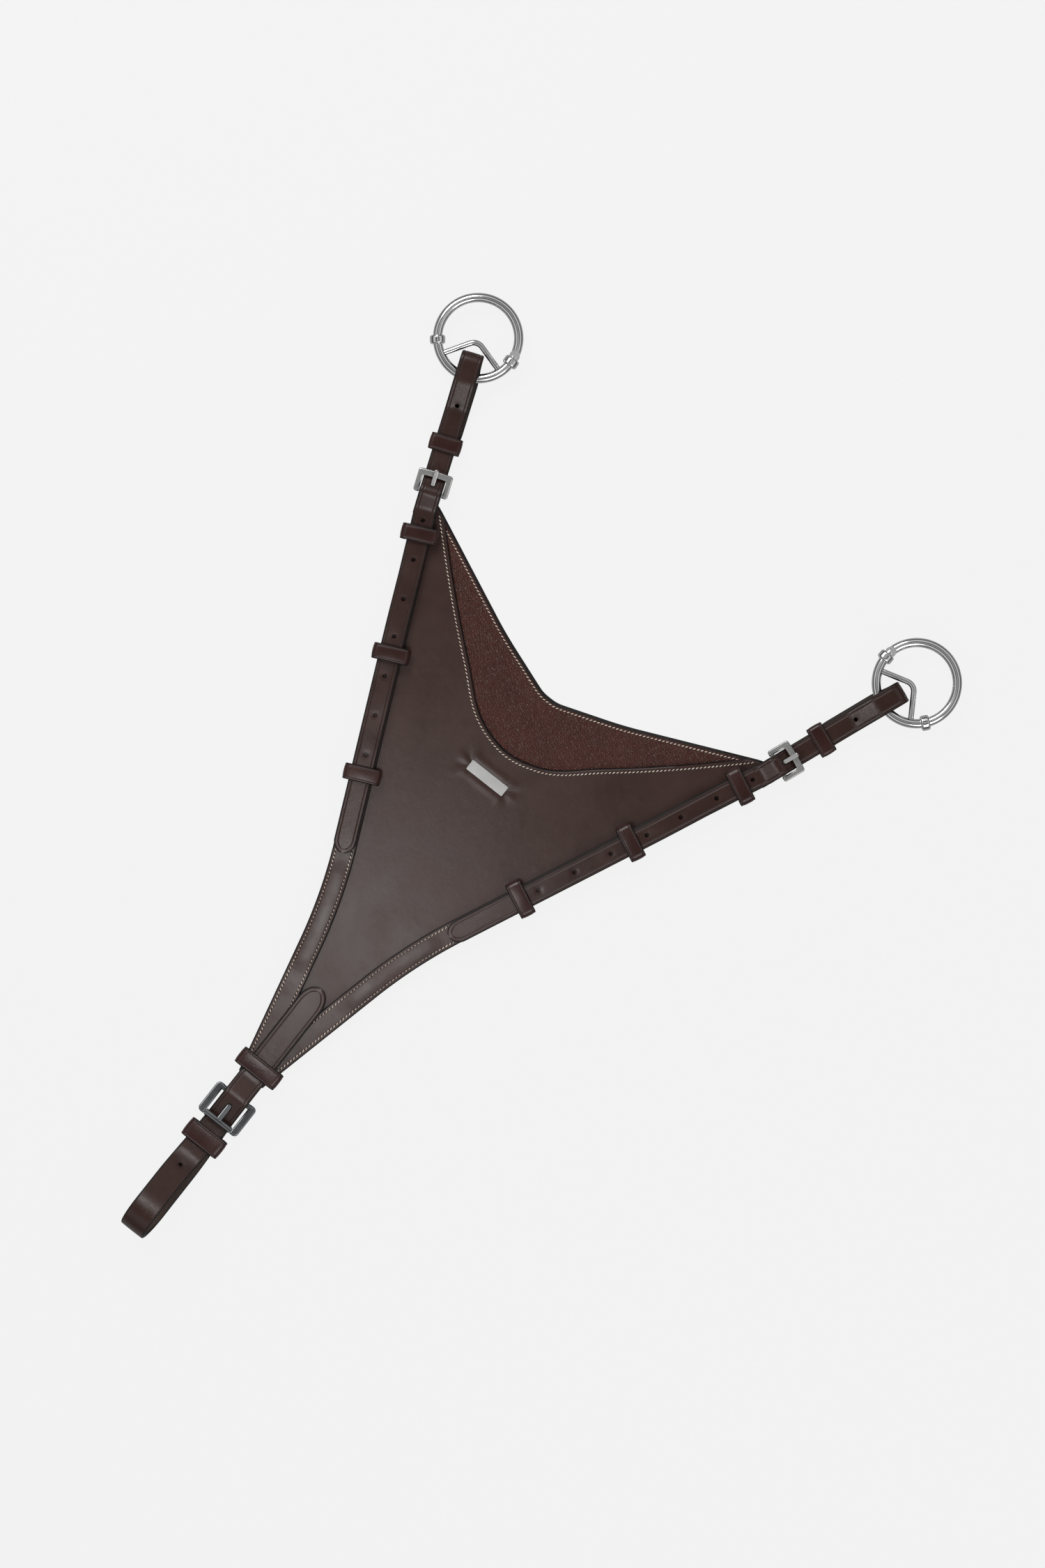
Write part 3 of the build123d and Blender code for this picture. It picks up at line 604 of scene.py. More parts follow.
# =======================================================================================
# the arm's own axes, from the frame's joints
# =======================================================================================
class Arm:
    """Axes of one arm: s runs along the strap from the bib's corner, u to its right, z up."""

    def __init__(self, side):
        self.side = side
        self.sign = SIDES[side]
        flex = JOINTS[side + "_arm_flex"]
        self.u = Vector(flex["axis"]).normalized()
        self.d = Vector((0, 0, 1)).cross(self.u)
        pivot = Vector(flex["pos_m"])
        self.corner = Vector((pivot.x, pivot.y, 0)) - self.d * FLEX_HINGE_S
        self.ring_z = JOINTS[side + "_ring_swing"]["pos_m"][2]
        self.ring_s = (Vector(JOINTS[side + "_ring_swing"]["pos_m"]) - self.corner).dot(self.d)

    def at(self, s, z, u=0.0):
        return np.array(self.corner + self.d * s + self.u * u + Vector((0, 0, z)))


ARMS = {side: Arm(side) for side in SIDES}
CORNER = np.array(ARMS["right"].corner)[:2]
LINING_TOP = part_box("bib_lining")[1].z
PANEL_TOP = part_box("bib_panel")[1].z
STRIP_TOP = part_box("right_edge_strip")[1].z
APEX_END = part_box("bib_panel")[0].y
APEX_SIDE = np.array([12.3, -150.0]) * MM


def side_line(inset, sign=1, step=1.5 * MM):
    """Side of the bib from its corner to the apex, set in by a distance."""
    top = CORNER + outer_side(BIB_LEAN) * (STRIP_WIDE / 2 - inset)
    low = APEX_SIDE - outer_side(APEX_LEAN) * inset
    bend = crossing(top, leaning(BIB_LEAN), low, leaning(APEX_LEAN))
    end = crossing(low, leaning(APEX_LEAN), (0, APEX_END), (1, 0))
    path = rounded_path([top, bend, end], [SIDE_BLEND + inset], step)
    return path * np.array([sign, 1])


# ---- pucker and unevenness of the bib's surface ---------------------------------------
PLATE_LOW, PLATE_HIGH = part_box("blank_plate")
PLATE_Y = (PLATE_LOW.y + PLATE_HIGH.y) / 2
PLATE_HALF = (PLATE_HIGH.x - PLATE_LOW.x) / 2


def panel_relief(x, y):
    """How far the panel's grain side stands off its flat level."""
    x, y = np.asarray(x), np.asarray(y)
    rise = 0.16 * MM * soft_noise(x, y, 34 * MM, 1.7)
    dx = np.maximum(np.abs(x) - PLATE_HALF + 1.5 * MM, 0)
    dy = np.abs(y - PLATE_Y)
    gap = np.hypot(dx, dy)
    bed = -0.35 * MM * np.exp(-(gap / (3.5 * MM)) ** 2)
    folds = np.cos(np.arctan2(y - PLATE_Y, np.abs(x) - PLATE_HALF + 2 * MM) * 5 + 0.6 * np.sign(x))
    pleats = 0.26 * MM * folds * np.exp(-((gap - 5 * MM) / (4.5 * MM)) ** 2)
    pleats = pleats * smooth_step((np.abs(x) - PLATE_HALF + 6 * MM) / (6 * MM))
    ridge = 0.30 * MM * np.exp(-((dy - 5.5 * MM) / (2.0 * MM)) ** 2) * np.exp(-(np.abs(x) / (14 * MM)) ** 4)
    return rise + bed + pleats + ridge


def lining_relief(x, y):
    return 0.12 * MM * soft_noise(x, y, 26 * MM, 4.2)


# =======================================================================================
# bib: lining, panel and their stitching
# =======================================================================================
def hermite(points, slopes, count):
    """Smooth curve through points with given end directions and natural ones between."""
    points = np.asarray(points, float)
    chord = lengths(points)
    tangents = np.gradient(points, chord, axis=0)
    tangents[0] = np.asarray(slopes[0]) / np.linalg.norm(slopes[0])
    tangents[-1] = np.asarray(slopes[1]) / np.linalg.norm(slopes[1])
    out = []
    for k in range(len(points) - 1):
        span = chord[k + 1] - chord[k]
        for f in np.linspace(0, 1, count, endpoint=k == len(points) - 2):
            a, b = 2 * f ** 3 - 3 * f ** 2 + 1, f ** 3 - 2 * f ** 2 + f
            c, d = -2 * f ** 3 + 3 * f ** 2, f ** 3 - f ** 2
            start = a * points[k] + b * span * tangents[k]
            out.append(start + c * points[k + 1] + d * span * tangents[k + 1])
    return np.array(out)


def panel_edge():
    """Right half of the panel's V edge, from the centre line outwards."""
    points = np.array([(0, 73), (20, 77.5), (50, 100.5), (112.4, 157.0)]) * MM
    return hermite(points, ((1, 0), (0.72, 0.7)), 30)


def lining_edge():
    """Right half of the lining's edge: nearly straight, with a small rounded notch."""
    points = np.array([(0, 112.6), (5, 112.6), (43, 126.0), (115.4, 158.4)]) * MM
    return rounded_path(points, [20 * MM, 260 * MM], 1.5 * MM)


def bib_sheet(name, edge, low, high, relief, materials, rows, columns, painted):
    """One layer of the bib as a closed sheet: a fan of rows with a painted slope at its V edge."""
    inner = CORNER - outer_side(BIB_LEAN) * STRIP_WIDE / 2
    top = CORNER + outer_side(BIB_LEAN) * STRIP_WIDE / 2
    right_top = np.vstack([edge, [inner], [top]])
    whole_top = np.vstack([right_top[::-1] * [-1, 1], right_top[1:]])
    t = even(whole_top, columns)
    side = even(side_line(0)[::-1], rows)
    foot = np.stack([np.linspace(-side[0, 0], side[0, 0], columns), np.full(columns, side[0, 1])], axis=1)
    u = np.linspace(0, 1, columns)[None, :, None]
    slope = painted / (edge[0, 1] - APEX_END)
    v = np.append(np.linspace(0, 1 - slope, rows - 1), 1.0)[:, None, None]
    right = side[:, None, :]
    left = right * np.array([-1, 1])
    grid = (1 - v) * foot[None] + v * t[None] + (1 - u) * left + u * right
    grid -= (1 - u) * (1 - v) * foot[0] + u * (1 - v) * foot[-1] + (1 - u) * v * t[0] + u * v * t[-1]
    x, y = grid[..., 0], grid[..., 1]
    top_z = high + relief(x, y)
    top_z[-1] = high - 0.6 * (high - low)
    upper = np.stack([x, y, top_z], axis=-1).reshape(-1, 3)
    lower = np.stack([x, y, np.full_like(x, low)], axis=-1).reshape(-1, 3)
    n = rows * columns
    faces, slots = [], []
    for i in range(rows - 1):
        for j in range(columns - 1):
            a = i * columns + j
            b, c, d = a + 1, a + columns + 1, a + columns
            faces += [(a, b, c, d), (n + d, n + c, n + b, n + a)]
            slots += [1 if i == rows - 2 else 0, 2]
    rim = list(range(columns)) + [i * columns + columns - 1 for i in range(1, rows)]
    rim += [(rows - 1) * columns + j for j in range(columns - 2, -1, -1)]
    rim += [i * columns for i in range(rows - 2, 0, -1)]
    for a, b in zip(rim, rim[1:] + rim[:1]):
        faces.append((a, n + a, n + b, b))
        slots.append(1)
    obj = recalculated(new_object(name, np.vstack([upper, lower]), faces, materials, slots))
    obj.data.set_sharp_from_angle(angle=math.radians(60))
    return obj


def stitch_tree():
    """Geometry Nodes tree: even stitches of waxed thread, each over a wider flat dark ball that paints the
    shadow round it, along a chain of edges.
    """
    tree = bpy.data.node_groups.new("stitch_row", "GeometryNodeTree")
    face = tree.interface
    face.new_socket("Geometry", in_out="INPUT", socket_type="NodeSocketGeometry")
    for name, value in (
        ("Pitch", STITCH_PITCH), ("Stitch length", 1.9 * MM), ("Thread radius", THREAD_R), ("Slant", 0.2),
    ):
        socket = face.new_socket(name, in_out="INPUT", socket_type="NodeSocketFloat")
        socket.default_value = value
    face.new_socket("Thread", in_out="INPUT", socket_type="NodeSocketMaterial")
    face.new_socket("Shadow seat", in_out="INPUT", socket_type="NodeSocketMaterial")
    face.new_socket("Geometry", in_out="OUTPUT", socket_type="NodeSocketGeometry")
    add, link = tree.nodes.new, tree.links.new
    source, out = add("NodeGroupInput"), add("NodeGroupOutput")
    curve, spaced = add("GeometryNodeMeshToCurve"), add("GeometryNodeResampleCurve")
    spaced.mode = "LENGTH"
    link(source.outputs["Geometry"], curve.inputs["Mesh"])
    link(curve.outputs["Curve"], spaced.inputs["Curve"])
    link(source.outputs["Pitch"], spaced.inputs["Length"])
    tangent, align = add("GeometryNodeInputTangent"), add("FunctionNodeAlignRotationToVector")
    align.axis = "X"
    align.pivot_axis = "Z"
    link(tangent.outputs[0], align.inputs["Vector"])
    slant = add("ShaderNodeCombineXYZ")
    link(source.outputs["Slant"], slant.inputs["Z"])
    ratio = add("ShaderNodeMath")
    ratio.operation = "DIVIDE"
    link(source.outputs["Stitch length"], ratio.inputs[0])
    link(source.outputs["Thread radius"], ratio.inputs[1])
    joined = add("GeometryNodeJoinGeometry")

    def balls(rings, stretch, wide, high, material):
        """A ball stretched along the row at every stitch, with its own material."""
        ball, shaped = add("GeometryNodeMeshUVSphere"), add("GeometryNodeTransform")
        scale = add("ShaderNodeCombineXYZ")
        ball.inputs["Segments"].default_value = 8
        ball.inputs["Rings"].default_value = rings
        link(source.outputs["Thread radius"], ball.inputs["Radius"])
        long = add("ShaderNodeMath")
        long.operation = "MULTIPLY"
        long.inputs[1].default_value = 0.5 * stretch
        link(ratio.outputs[0], long.inputs[0])
        link(long.outputs[0], scale.inputs["X"])
        scale.inputs["Y"].default_value = wide
        scale.inputs["Z"].default_value = high
        link(ball.outputs["Mesh"], shaped.inputs["Geometry"])
        link(scale.outputs[0], shaped.inputs["Scale"])
        place, turned = add("GeometryNodeInstanceOnPoints"), add("GeometryNodeRotateInstances")
        link(spaced.outputs["Curve"], place.inputs["Points"])
        link(shaped.outputs["Geometry"], place.inputs["Instance"])
        link(align.outputs["Rotation"], place.inputs["Rotation"])
        link(place.outputs["Instances"], turned.inputs["Instances"])
        link(slant.outputs[0], turned.inputs["Rotation"])
        realise, smooth = add("GeometryNodeRealizeInstances"), add("GeometryNodeSetShadeSmooth")
        paint = add("GeometryNodeSetMaterial")
        link(turned.outputs["Instances"], realise.inputs["Geometry"])
        link(realise.outputs["Geometry"], smooth.inputs["Geometry"])
        link(smooth.outputs["Geometry"], paint.inputs["Geometry"])
        link(source.outputs[material], paint.inputs["Material"])
        link(paint.outputs["Geometry"], joined.inputs["Geometry"])

    balls(6, 1.0, 1.0, 1.0, "Thread")
    # Under each stitch, a wider and flatter ball in the black edge material: painted shadow round the thread.
    balls(3, 1.34, 1.85, 0.45, "Shadow seat")
    link(joined.outputs["Geometry"], out.inputs["Geometry"])
    return tree


STITCH_TREE = stitch_tree()


def stitches(name, rows, slant=0.46, length=2.0 * MM):
    """All stitch rows of one kind as one plain mesh. rows are lists of 3-D points."""
    verts, edges = [], []
    for row in rows:
        base = len(verts)
        verts.extend(tuple(p) for p in row)
        edges.extend((base + k, base + k + 1) for k in range(len(row) - 1))
    mesh = bpy.data.meshes.new(name)
    mesh.from_pydata(verts, edges, [])
    obj = bpy.data.objects.new(name, mesh)
    bpy.context.scene.collection.objects.link(obj)
    modifier = obj.modifiers.new("stitches", "NODES")
    modifier.node_group = STITCH_TREE
    sockets = STITCH_TREE.interface.items_tree
    names = {item.name: item.identifier for item in sockets if item.in_out == "INPUT"}
    modifier[names["Slant"]] = slant
    modifier[names["Stitch length"]] = length
    modifier[names["Thread"]] = THREAD
    # The painted shadow under the stitches takes the black edge material.
    modifier[names["Shadow seat"]] = EDGE_BLACK
    finished(obj)
    if not obj.data.materials:
        obj.data.materials.append(THREAD)
    return obj


def offset_row(path, inset, z_of):
    """A row parallel to an edge, set in to the left of its running direction, at the height z_of gives."""
    tangent = np.gradient(path, axis=0)
    tangent /= np.linalg.norm(tangent, axis=1)[:, None]
    left = np.stack([-tangent[:, 1], tangent[:, 0]], axis=1)
    row = even(path + left * inset, step=1.2 * MM)
    return np.column_stack([row, z_of(row[:, 0], row[:, 1])])


def make_bib():
    lining = bib_sheet(
        "bib_lining_leather", lining_edge(), 0.0, LINING_TOP, lining_relief,
        [LINING_LEATHER, EDGE_BLACK, LINING_LEATHER], 150, 190, 0.15 * MM,
    )
    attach(lining, "bib")
    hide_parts("bib_lining")
    panel = bib_sheet(
        "bib_panel_leather", panel_edge(), LINING_TOP, PANEL_TOP, panel_relief,
        [PANEL_LEATHER, EDGE_BLACK, FLESH], 190, 200, 1.15 * MM,
    )
    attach(panel, "bib")
    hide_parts("bib_panel")

    def on_panel(x, y):
        return PANEL_TOP + panel_relief(x, y) - 0.06 * MM

    def on_lining(x, y):
        return LINING_TOP + lining_relief(x, y) - 0.06 * MM

    def below(x, y):
        return np.full_like(x, 0.05 * MM)

    def whole(half):
        return np.vstack([half[::-1] * [-1, 1], half[1:]])

    panel_row = whole(even(panel_edge(), step=1 * MM))[::-1]
    lining_row = whole(even(lining_edge(), step=1 * MM))[::-1]
    rows = [offset_row(panel_row, 2.8 * MM, on_panel), offset_row(lining_row, 3.0 * MM, on_lining)]
    rows += [offset_row(lining_row, 3.0 * MM, below)]
    piece = stitches("bib_edge_stitches", rows)
    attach(piece, "bib")


# =======================================================================================
# edge strips
# =======================================================================================
STRIP_STITCH_IN = 2.1 * MM


def strip_path(sign):
    """Centre line of the strip and its half width, kept on its own side of the centre line."""
    path = side_line(STRIP_WIDE / 2, 1, 1.6 * MM)
    start = path[0] - leaning(BIB_LEAN) * 3.6 * MM
    path = np.vstack([[start], path[path[:, 1] < start[1] - 0.5 * MM]])
    tangent = np.gradient(path, axis=0)
    tangent /= np.linalg.norm(tangent, axis=1)[:, None]
    outer = np.stack([-tangent[:, 1], tangent[:, 0]], axis=1)
    half = np.full(len(path), STRIP_WIDE / 2)
    inner_x = (path - outer * STRIP_WIDE / 2)[:, 0]
    over = np.maximum(0.05 * MM - inner_x, 0) / outer[:, 0]
    half = half - over / 2
    path = path + outer * (over / 2)[:, None]
    return path * [sign, 1], outer * [sign, 1], half


def strip_crown(points):
    """Dome of the strip where no strap lies on it: below the billets' tips and above the chest strap's."""
    free = smooth_step((34 * MM - np.abs(points[:, 1] + 68 * MM)) / (10 * MM))
    return 0.1 * MM + 0.55 * MM * free


def make_strips():
    rows = []
    for side, sign in SIDES.items():
        path, outer, half = strip_path(sign)
        z = (PANEL_TOP + STRIP_TOP) / 2
        points = np.column_stack([path, np.full(len(path), z)])
        across = np.column_stack([outer, np.zeros(len(path))]) * -sign
        strip = band(
            side + "_edge_strip_leather", points, across, STRIP_WIDE, STRIP_TOP - PANEL_TOP, LEATHER_SET,
            crease_in=STRIP_STITCH_IN, groove=0.42 * MM, crown=strip_crown(points), half_wide=half,
            edge_round=0.34,
        )
        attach(strip, "bib")
        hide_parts(side + "_edge_strip")
        for edge in (-1, 1):
            inset = half - STRIP_STITCH_IN
            row = path + outer * (edge * inset)[:, None]
            keep = (row[:, 0] * sign > 0.8 * MM) if edge < 0 else np.ones(len(row), bool)
            row = even(row[keep], step=1.2 * MM)
            rows.append(np.column_stack([row, np.full(len(row), STRIP_TOP - 0.12 * MM)]))
            rows.append(np.column_stack([row, np.full(len(row), 0.05 * MM)]))
    piece = stitches("strip_stitches", rows)
    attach(piece, "bib")


# =======================================================================================
# arm straps
# =======================================================================================
SHEET_GAP = 0.05 * MM
BACK_MID = (LINING_TOP + PANEL_TOP) / 2
FRONT_MID = BACK_MID + ARM_THICK + 0.15 * MM
BILLET_MID = STRIP_TOP + SHEET_GAP + ARM_THICK / 2
FOLD_HALF = 4.85 * MM
HOLE_TOP_S = 58.5 * MM
HOLE_R = 1.35 * MM
BILLET_LONG = 207 * MM
BILLET_OUT = 0.6 * MM          # how far outside the strip's middle the billet lies


def arm_side_view(arm):
    """The free strap seen from the side, as (s, z), from the bib over the buckle to the ring and back."""
    high = arm.ring_z + FOLD_HALF
    billet, front, back, crest = (z / MM for z in (BILLET_MID, FRONT_MID, BACK_MID, high))
    points = np.array([
        (-8, billet), (-3.5, billet), (6.3, 11.9), (16.2, front), (56, front),
        (72.5, crest), (89, crest), (89, back), (-7.5, back),
    ]) * MM
    radii = [r * MM for r in (8, 4.5, 8, 14, 12, 4.8, 4.8)]
    return rounded_path(points, radii, 1.15 * MM)


def billet_plan():
    """Centre line of the billet in the right arm's (s, u) axes, tip first. It follows the edge strip."""
    line = side_line(STRIP_WIDE / 2, 1, 1.3 * MM)
    line = line[lengths(line) < BILLET_LONG][::-1]
    right = ARMS["right"]
    away = line - np.array(right.corner)[:2]
    s, u = away @ np.array(right.d)[:2], away @ np.array(right.u)[:2]
    return np.column_stack([s, u + BILLET_OUT * smooth_step((-s - 20 * MM) / (60 * MM))])


def make_arm_strap(arm):
    """One strap from its rounded tip, under the fixed keepers, over the buckle and round the ring."""
    plan = billet_plan()
    plan = plan[plan[:, 0] < -6.5 * MM]
    side_view = arm_side_view(arm)[1:]
    flat = [arm.at(s, BILLET_MID, u * arm.sign) for s, u in plan]
    risen = [arm.at(s, z) for s, z in side_view]
    points = np.array(flat + risen)
    d, u = np.array(arm.d), np.array(arm.u)
    level = points * [1, 1, 0]
    heading = np.gradient(level[: len(flat)], axis=0)
    heading /= np.linalg.norm(heading, axis=1)[:, None]
    across_flat = np.cross(heading, (0, 0, 1))
    across = np.vstack([across_flat, np.tile(u, (len(risen), 1))])
    first, last = len(flat) - 8, len(flat) + 8
    for _ in range(12):
        near = across[first - 1:last - 1] + across[first:last]
        across[first:last] = (near + across[first + 1:last + 1]) / 3
    across /= np.linalg.norm(across, axis=1)[:, None]
    turned = len(flat) + int(np.argmax(side_view[:, 0]))
    along = (points - np.array(arm.corner)) @ d
    slip = smooth_step((along - 30 * MM) / (14 * MM)) * smooth_step((86 * MM - along) / (14 * MM))
    slip[:turned] = 0
    points = points - u * (1.3 * MM * arm.sign * slip)[:, None]
    run = lengths(points)

    def run_at(s):
        """Distance run where the front of the strap passes a place along the arm."""
        along = (points[:turned] - np.array(arm.corner)) @ d
        return float(np.interp(s, along, run[:turned]))

    turn = BIB_LEAN - math.atan2(ARMS["right"].d.x, ARMS["right"].d.y)
    places = [HOLE_TOP_S, HOLE_TOP_S - HOLE_PITCH] + [
        (HOLE_TOP_S - k * HOLE_PITCH) * math.cos(turn) for k in range(3, 10)
    ]
    runs = [run_at(s) for s in places]
    prong_run = run_at(10.4 * MM)
    dimples = [(r, 0.0, 2.1 * MM, 0.22 * MM) for r in runs] + [(prong_run, 0.0, 3.0 * MM, 0.25 * MM)]
    strap = band(
        arm.side + "_arm_strap", points, across, ARM_WIDE, ARM_THICK, LEATHER_SET,
        nose=7.5 * MM, dimples=dimples, groove=0.26 * MM, crown=0.14 * MM,
        lift=lambda r, w: 0.05 * MM * soft_noise(r, w, 9 * MM, 2.2 + arm.sign),
    )
    tangent = np.gradient(points, axis=0)
    tangent /= np.linalg.norm(tangent, axis=1)[:, None]
    holes = []
    for r in runs:
        k = int(np.argmin(np.abs(run - r)))
        normal = np.cross(across[k], tangent[k])
        holes.append((points[k], normal, tangent[k], 0.0))
    punched(strap, holes, HOLE_R)
    k = int(np.argmin(np.abs(run - prong_run)))
    lean = math.radians(20.0)
    prong_way = np.array(arm.d) * math.cos(lean) + np.array((0, 0, math.sin(lean)))
    punched(strap, [(points[k], prong_way, np.array(arm.d), 0.5 * MM)], 1.7 * MM)
    start = arm.at(FLEX_HINGE_S - FLEX_HALF, 0)
    end = arm.at(FLEX_HINGE_S + FLEX_HALF, 0)
    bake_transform(strap)
    names = ("_billet", "_strap_flex", "_ring_loop", "_strap_sewn_end")
    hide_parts(*[arm.side + n for n in names])


# =======================================================================================
# keepers and chapes
# =======================================================================================
FIXED_KEEPER, FIXED_KEEPER_THICK = (21.5 * MM, 9.3 * MM), 1.7 * MM     # across and along the strap
RUN_KEEPER, RUN_KEEPER_THICK = (18.5 * MM, 9.6 * MM), 1.3 * MM
WIDE_KEEPER, CHEST_KEEPER, CHEST_KEEPER_THICK = (28.0 * MM, 10.5 * MM), (25.0 * MM, 11.5 * MM), 1.4 * MM


def keeper(name, origin, u, d, wide, along, low, high, thick, closed, bow=0.75 * MM, corner=3.0 * MM,
           tuck=2.5 * MM):
    """A loop of leather round a strap. Its path lies in the plane of u and Z, its width along d."""
    half = wide / 2 - thick / 2
    z0, z1 = low + thick / 2, high - thick / 2
    corner = min(corner, (z1 - z0) * 0.48)
    if closed:
        points = [(0, z0), (half, z0), (half, z1), (-half, z1), (-half, z0), (0, z0)]
        path = rounded_path(points, [corner] * 4, 0.7 * MM)[:-1]
    else:
        points = [(half - tuck, z0), (half, z0), (half, z1), (-half, z1), (-half, z0), (tuck - half, z0)]
        path = rounded_path(points, [corner * 0.6, corner, corner, corner * 0.6], 0.7 * MM)
    lifted = path[:, 1] > (z0 + z1) / 2
    path[:, 1] += np.where(lifted, bow * (1 - (path[:, 0] / half) ** 2), 0)
    origin, u, d = np.array(origin), np.array(u), np.array(d)
    points = np.array([origin + u * p + np.array((0, 0, q)) for p, q in path])
    across = np.tile(d, (len(points), 1))
    return band(
        name, points, across, along, thick, KEEPER_SET, crease_in=1.35 * MM, groove=0.24 * MM, crown=0.3 * MM,
        closed=closed, edge_round=0.36, lift=lambda r, w: 0.04 * MM * soft_noise(r, w, 4 * MM, 1.1),
    )


def middle(node):
    low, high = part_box(node)
    return (low + high) / 2


def make_fixed_keepers(arm):
    lean = BIB_LEAN * arm.sign
    d = (math.sin(lean), math.cos(lean), 0)
    u = (math.cos(lean), -math.sin(lean), 0)
    for place in ("upper", "middle", "lower"):
        node = f"{arm.side}_{place}_fixed_keeper"
        low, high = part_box(node)
        centre = middle(node)
        piece = keeper(
            node + "_leather", (centre.x, centre.y, 0), u, d, *FIXED_KEEPER, low.z, high.z,
            FIXED_KEEPER_THICK, False,
        )
        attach(piece, "bib")
        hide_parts(node)


def make_running_keeper(arm):
    node = arm.side + "_running_keeper"
    low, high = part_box(node)
    centre = middle(node)
    piece = keeper(
        node + "_leather", (centre.x, centre.y, 0), arm.u, arm.d, *RUN_KEEPER, low.z, high.z,
        RUN_KEEPER_THICK, True, corner=1.6 * MM, bow=0.2 * MM,
    )
    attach(piece, arm.side + "_keeper")
    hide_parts(node)


def make_chape(name, node, origin, d, u, hinge_s, hinge_z, radius, thick, wide, slot, tail_s, tail_z, body):
    """Leather folded round a buckle's hinge bar, with a slot for the prong, as a bent band in two cheeks."""
    side = 1 if hinge_s > tail_s else -1
    mid = radius - thick / 2
    path = [(tail_s, tail_z - thick * 0.55)]
    for k in range(0, 19):
        a = math.radians(-100 + k * 200 / 18)
        path.append((hinge_s + side * mid * math.cos(a), hinge_z + mid * math.sin(a)))
    path.append((tail_s, tail_z + thick * 0.55))
    path = refine(np.array(path), 0.8 * MM)
    origin, d, u = np.array(origin), np.array(d), np.array(u)
    slot_half = slot / 2
    cheeks = []
    for k, sign in enumerate((-1, 1)):
        cheek = wide / 2 - slot_half
        offset = sign * (slot_half + cheek / 2)
        points = np.array([origin + d * s + u * offset + np.array((0, 0, z)) for s, z in path])
        across = np.tile(-u * side, (len(points), 1))
        cheeks.append(band(
            f"{name}_{k}", points, across, cheek, thick, LEATHER_SET, crease_in=1.5 * MM, groove=0.0,
            crown=0.0,
        ))
    for cheek in cheeks:
        if body == "chest_strap":
            bend_with_chest(cheek)
        else:
            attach(cheek, body)
    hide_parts(node)


# =======================================================================================
# chest strap
# =======================================================================================
CHEST_BACK_MID = LINING_TOP + CHEST_THICK / 2
CHEST_FRONT_MID = CHEST_BACK_MID + CHEST_THICK + 0.15 * MM
CHEST_END_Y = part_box("chest_strap")[0].y
CHEST_TOP_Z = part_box("chest_strap")[1].z
CHEST_TIP_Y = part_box("chest_billet_tip")[1].y
CHEST_HINGE = Vector(JOINTS["chest_buckle_tilt"]["pos_m"])
CHEST_LEAN_X = 1.5 * MM        # the front of the loop lies this far left of the middle, the back as far right


def bend_with_chest(piece):
    """Bakes a piece's placement into its mesh."""
    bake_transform(piece)


def make_chest_strap():
    crest = CHEST_TOP_Z - CHEST_THICK / 2
    end = CHEST_END_Y + CHEST_THICK / 2
    radius = (crest - CHEST_BACK_MID) / 2
    mid = STRIP_TOP + SHEET_GAP + CHEST_THICK / 2
    points = [
        (CHEST_TIP_Y, mid), (-166 * MM, mid), (CHEST_HINGE.y, 13.2 * MM), (-198 * MM, CHEST_FRONT_MID),
        (-224 * MM, CHEST_FRONT_MID), (-256 * MM, crest), (end, crest), (end, CHEST_BACK_MID),
        (APEX_END + 14 * MM, CHEST_BACK_MID - 0.15 * MM),
    ]
    radii = [12 * MM, 6 * MM, 12 * MM, 15 * MM, 18 * MM, radius - 0.05 * MM, radius - 0.05 * MM]
    path = rounded_path(points, radii, 1.15 * MM)
    run = lengths(path)
    turned = int(np.argmin(path[:, 0]))
    lean = -CHEST_LEAN_X * smooth_step((run - run[turned] + 95 * MM) / (50 * MM))
    lean += 2 * CHEST_LEAN_X * smooth_step((run - run[turned] + 22 * MM) / (44 * MM))
    lean -= CHEST_LEAN_X * smooth_step((run - run[turned] - 50 * MM) / (45 * MM))
    line = np.column_stack([lean, path[:, 0], path[:, 1]])
    across = np.tile((-1.0, 0.0, 0.0), (len(line), 1))

    def run_at(y):
        return float(np.interp(-y, -path[:turned, 0], run[:turned]))

    holes_at = [run_at(-229.3 * MM), run_at(-206.3 * MM)]
    prong_run = run_at(-185.2 * MM)
    dimples = [(r, 0.0, 2.3 * MM, 0.35 * MM) for r in holes_at] + [(prong_run, 0.0, 3.4 * MM, 0.3 * MM)]
    strap = band(
        "chest_strap_leather", line, across, CHEST_WIDE, CHEST_THICK, LEATHER_SET, nose=11.5 * MM,
        dimples=dimples, groove=0.28 * MM, crown=0.15 * MM, crease_in=2.3 * MM,
        lift=lambda r, w: 0.05 * MM * soft_noise(r, w, 10 * MM, 3.3), crease_stop=run_at(-212 * MM),
    )
    tangent = np.gradient(line, axis=0)
    tangent /= np.linalg.norm(tangent, axis=1)[:, None]
    holes = []
    for r in holes_at:
        k = int(np.argmin(np.abs(run - r)))
        holes.append((line[k], np.cross(across[k], tangent[k]), tangent[k], 0.0))
    punched(strap, holes, 1.35 * MM)
    k = int(np.argmin(np.abs(run - prong_run)))
    lean_angle = math.radians(16.0)
    prong_way = (0, -math.cos(lean_angle), math.sin(lean_angle))
    punched(strap, [(line[k], prong_way, (0, 1, 0), 0.6 * MM)], 1.9 * MM)
    bend_with_chest(strap)
    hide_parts("chest_billet_tip", "chest_flex", "chest_strap", "chest_sewn_end")


def make_chest_keepers():
    for node, size, thick, closed, body in (
        ("wide_keeper", WIDE_KEEPER, FIXED_KEEPER_THICK, False, "bib"),
        ("chest_keeper", CHEST_KEEPER, CHEST_KEEPER_THICK, True, "chest_keeper"),
    ):
        low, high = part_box(node)
        centre = middle(node)
        piece = keeper(
            node + "_leather", (0, centre.y, 0), (1, 0, 0), (0, 1, 0), *size, low.z, high.z, thick,
            closed, corner=2.6 * MM,
        )
        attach(piece, body)
        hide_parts(node)


# =======================================================================================
# metal parts keep their CAD shape and take a finish
# =======================================================================================
def paint(node, material):
    obj = frame["nodes"][node]
    obj.data.materials.clear()
    obj.data.materials.append(material)


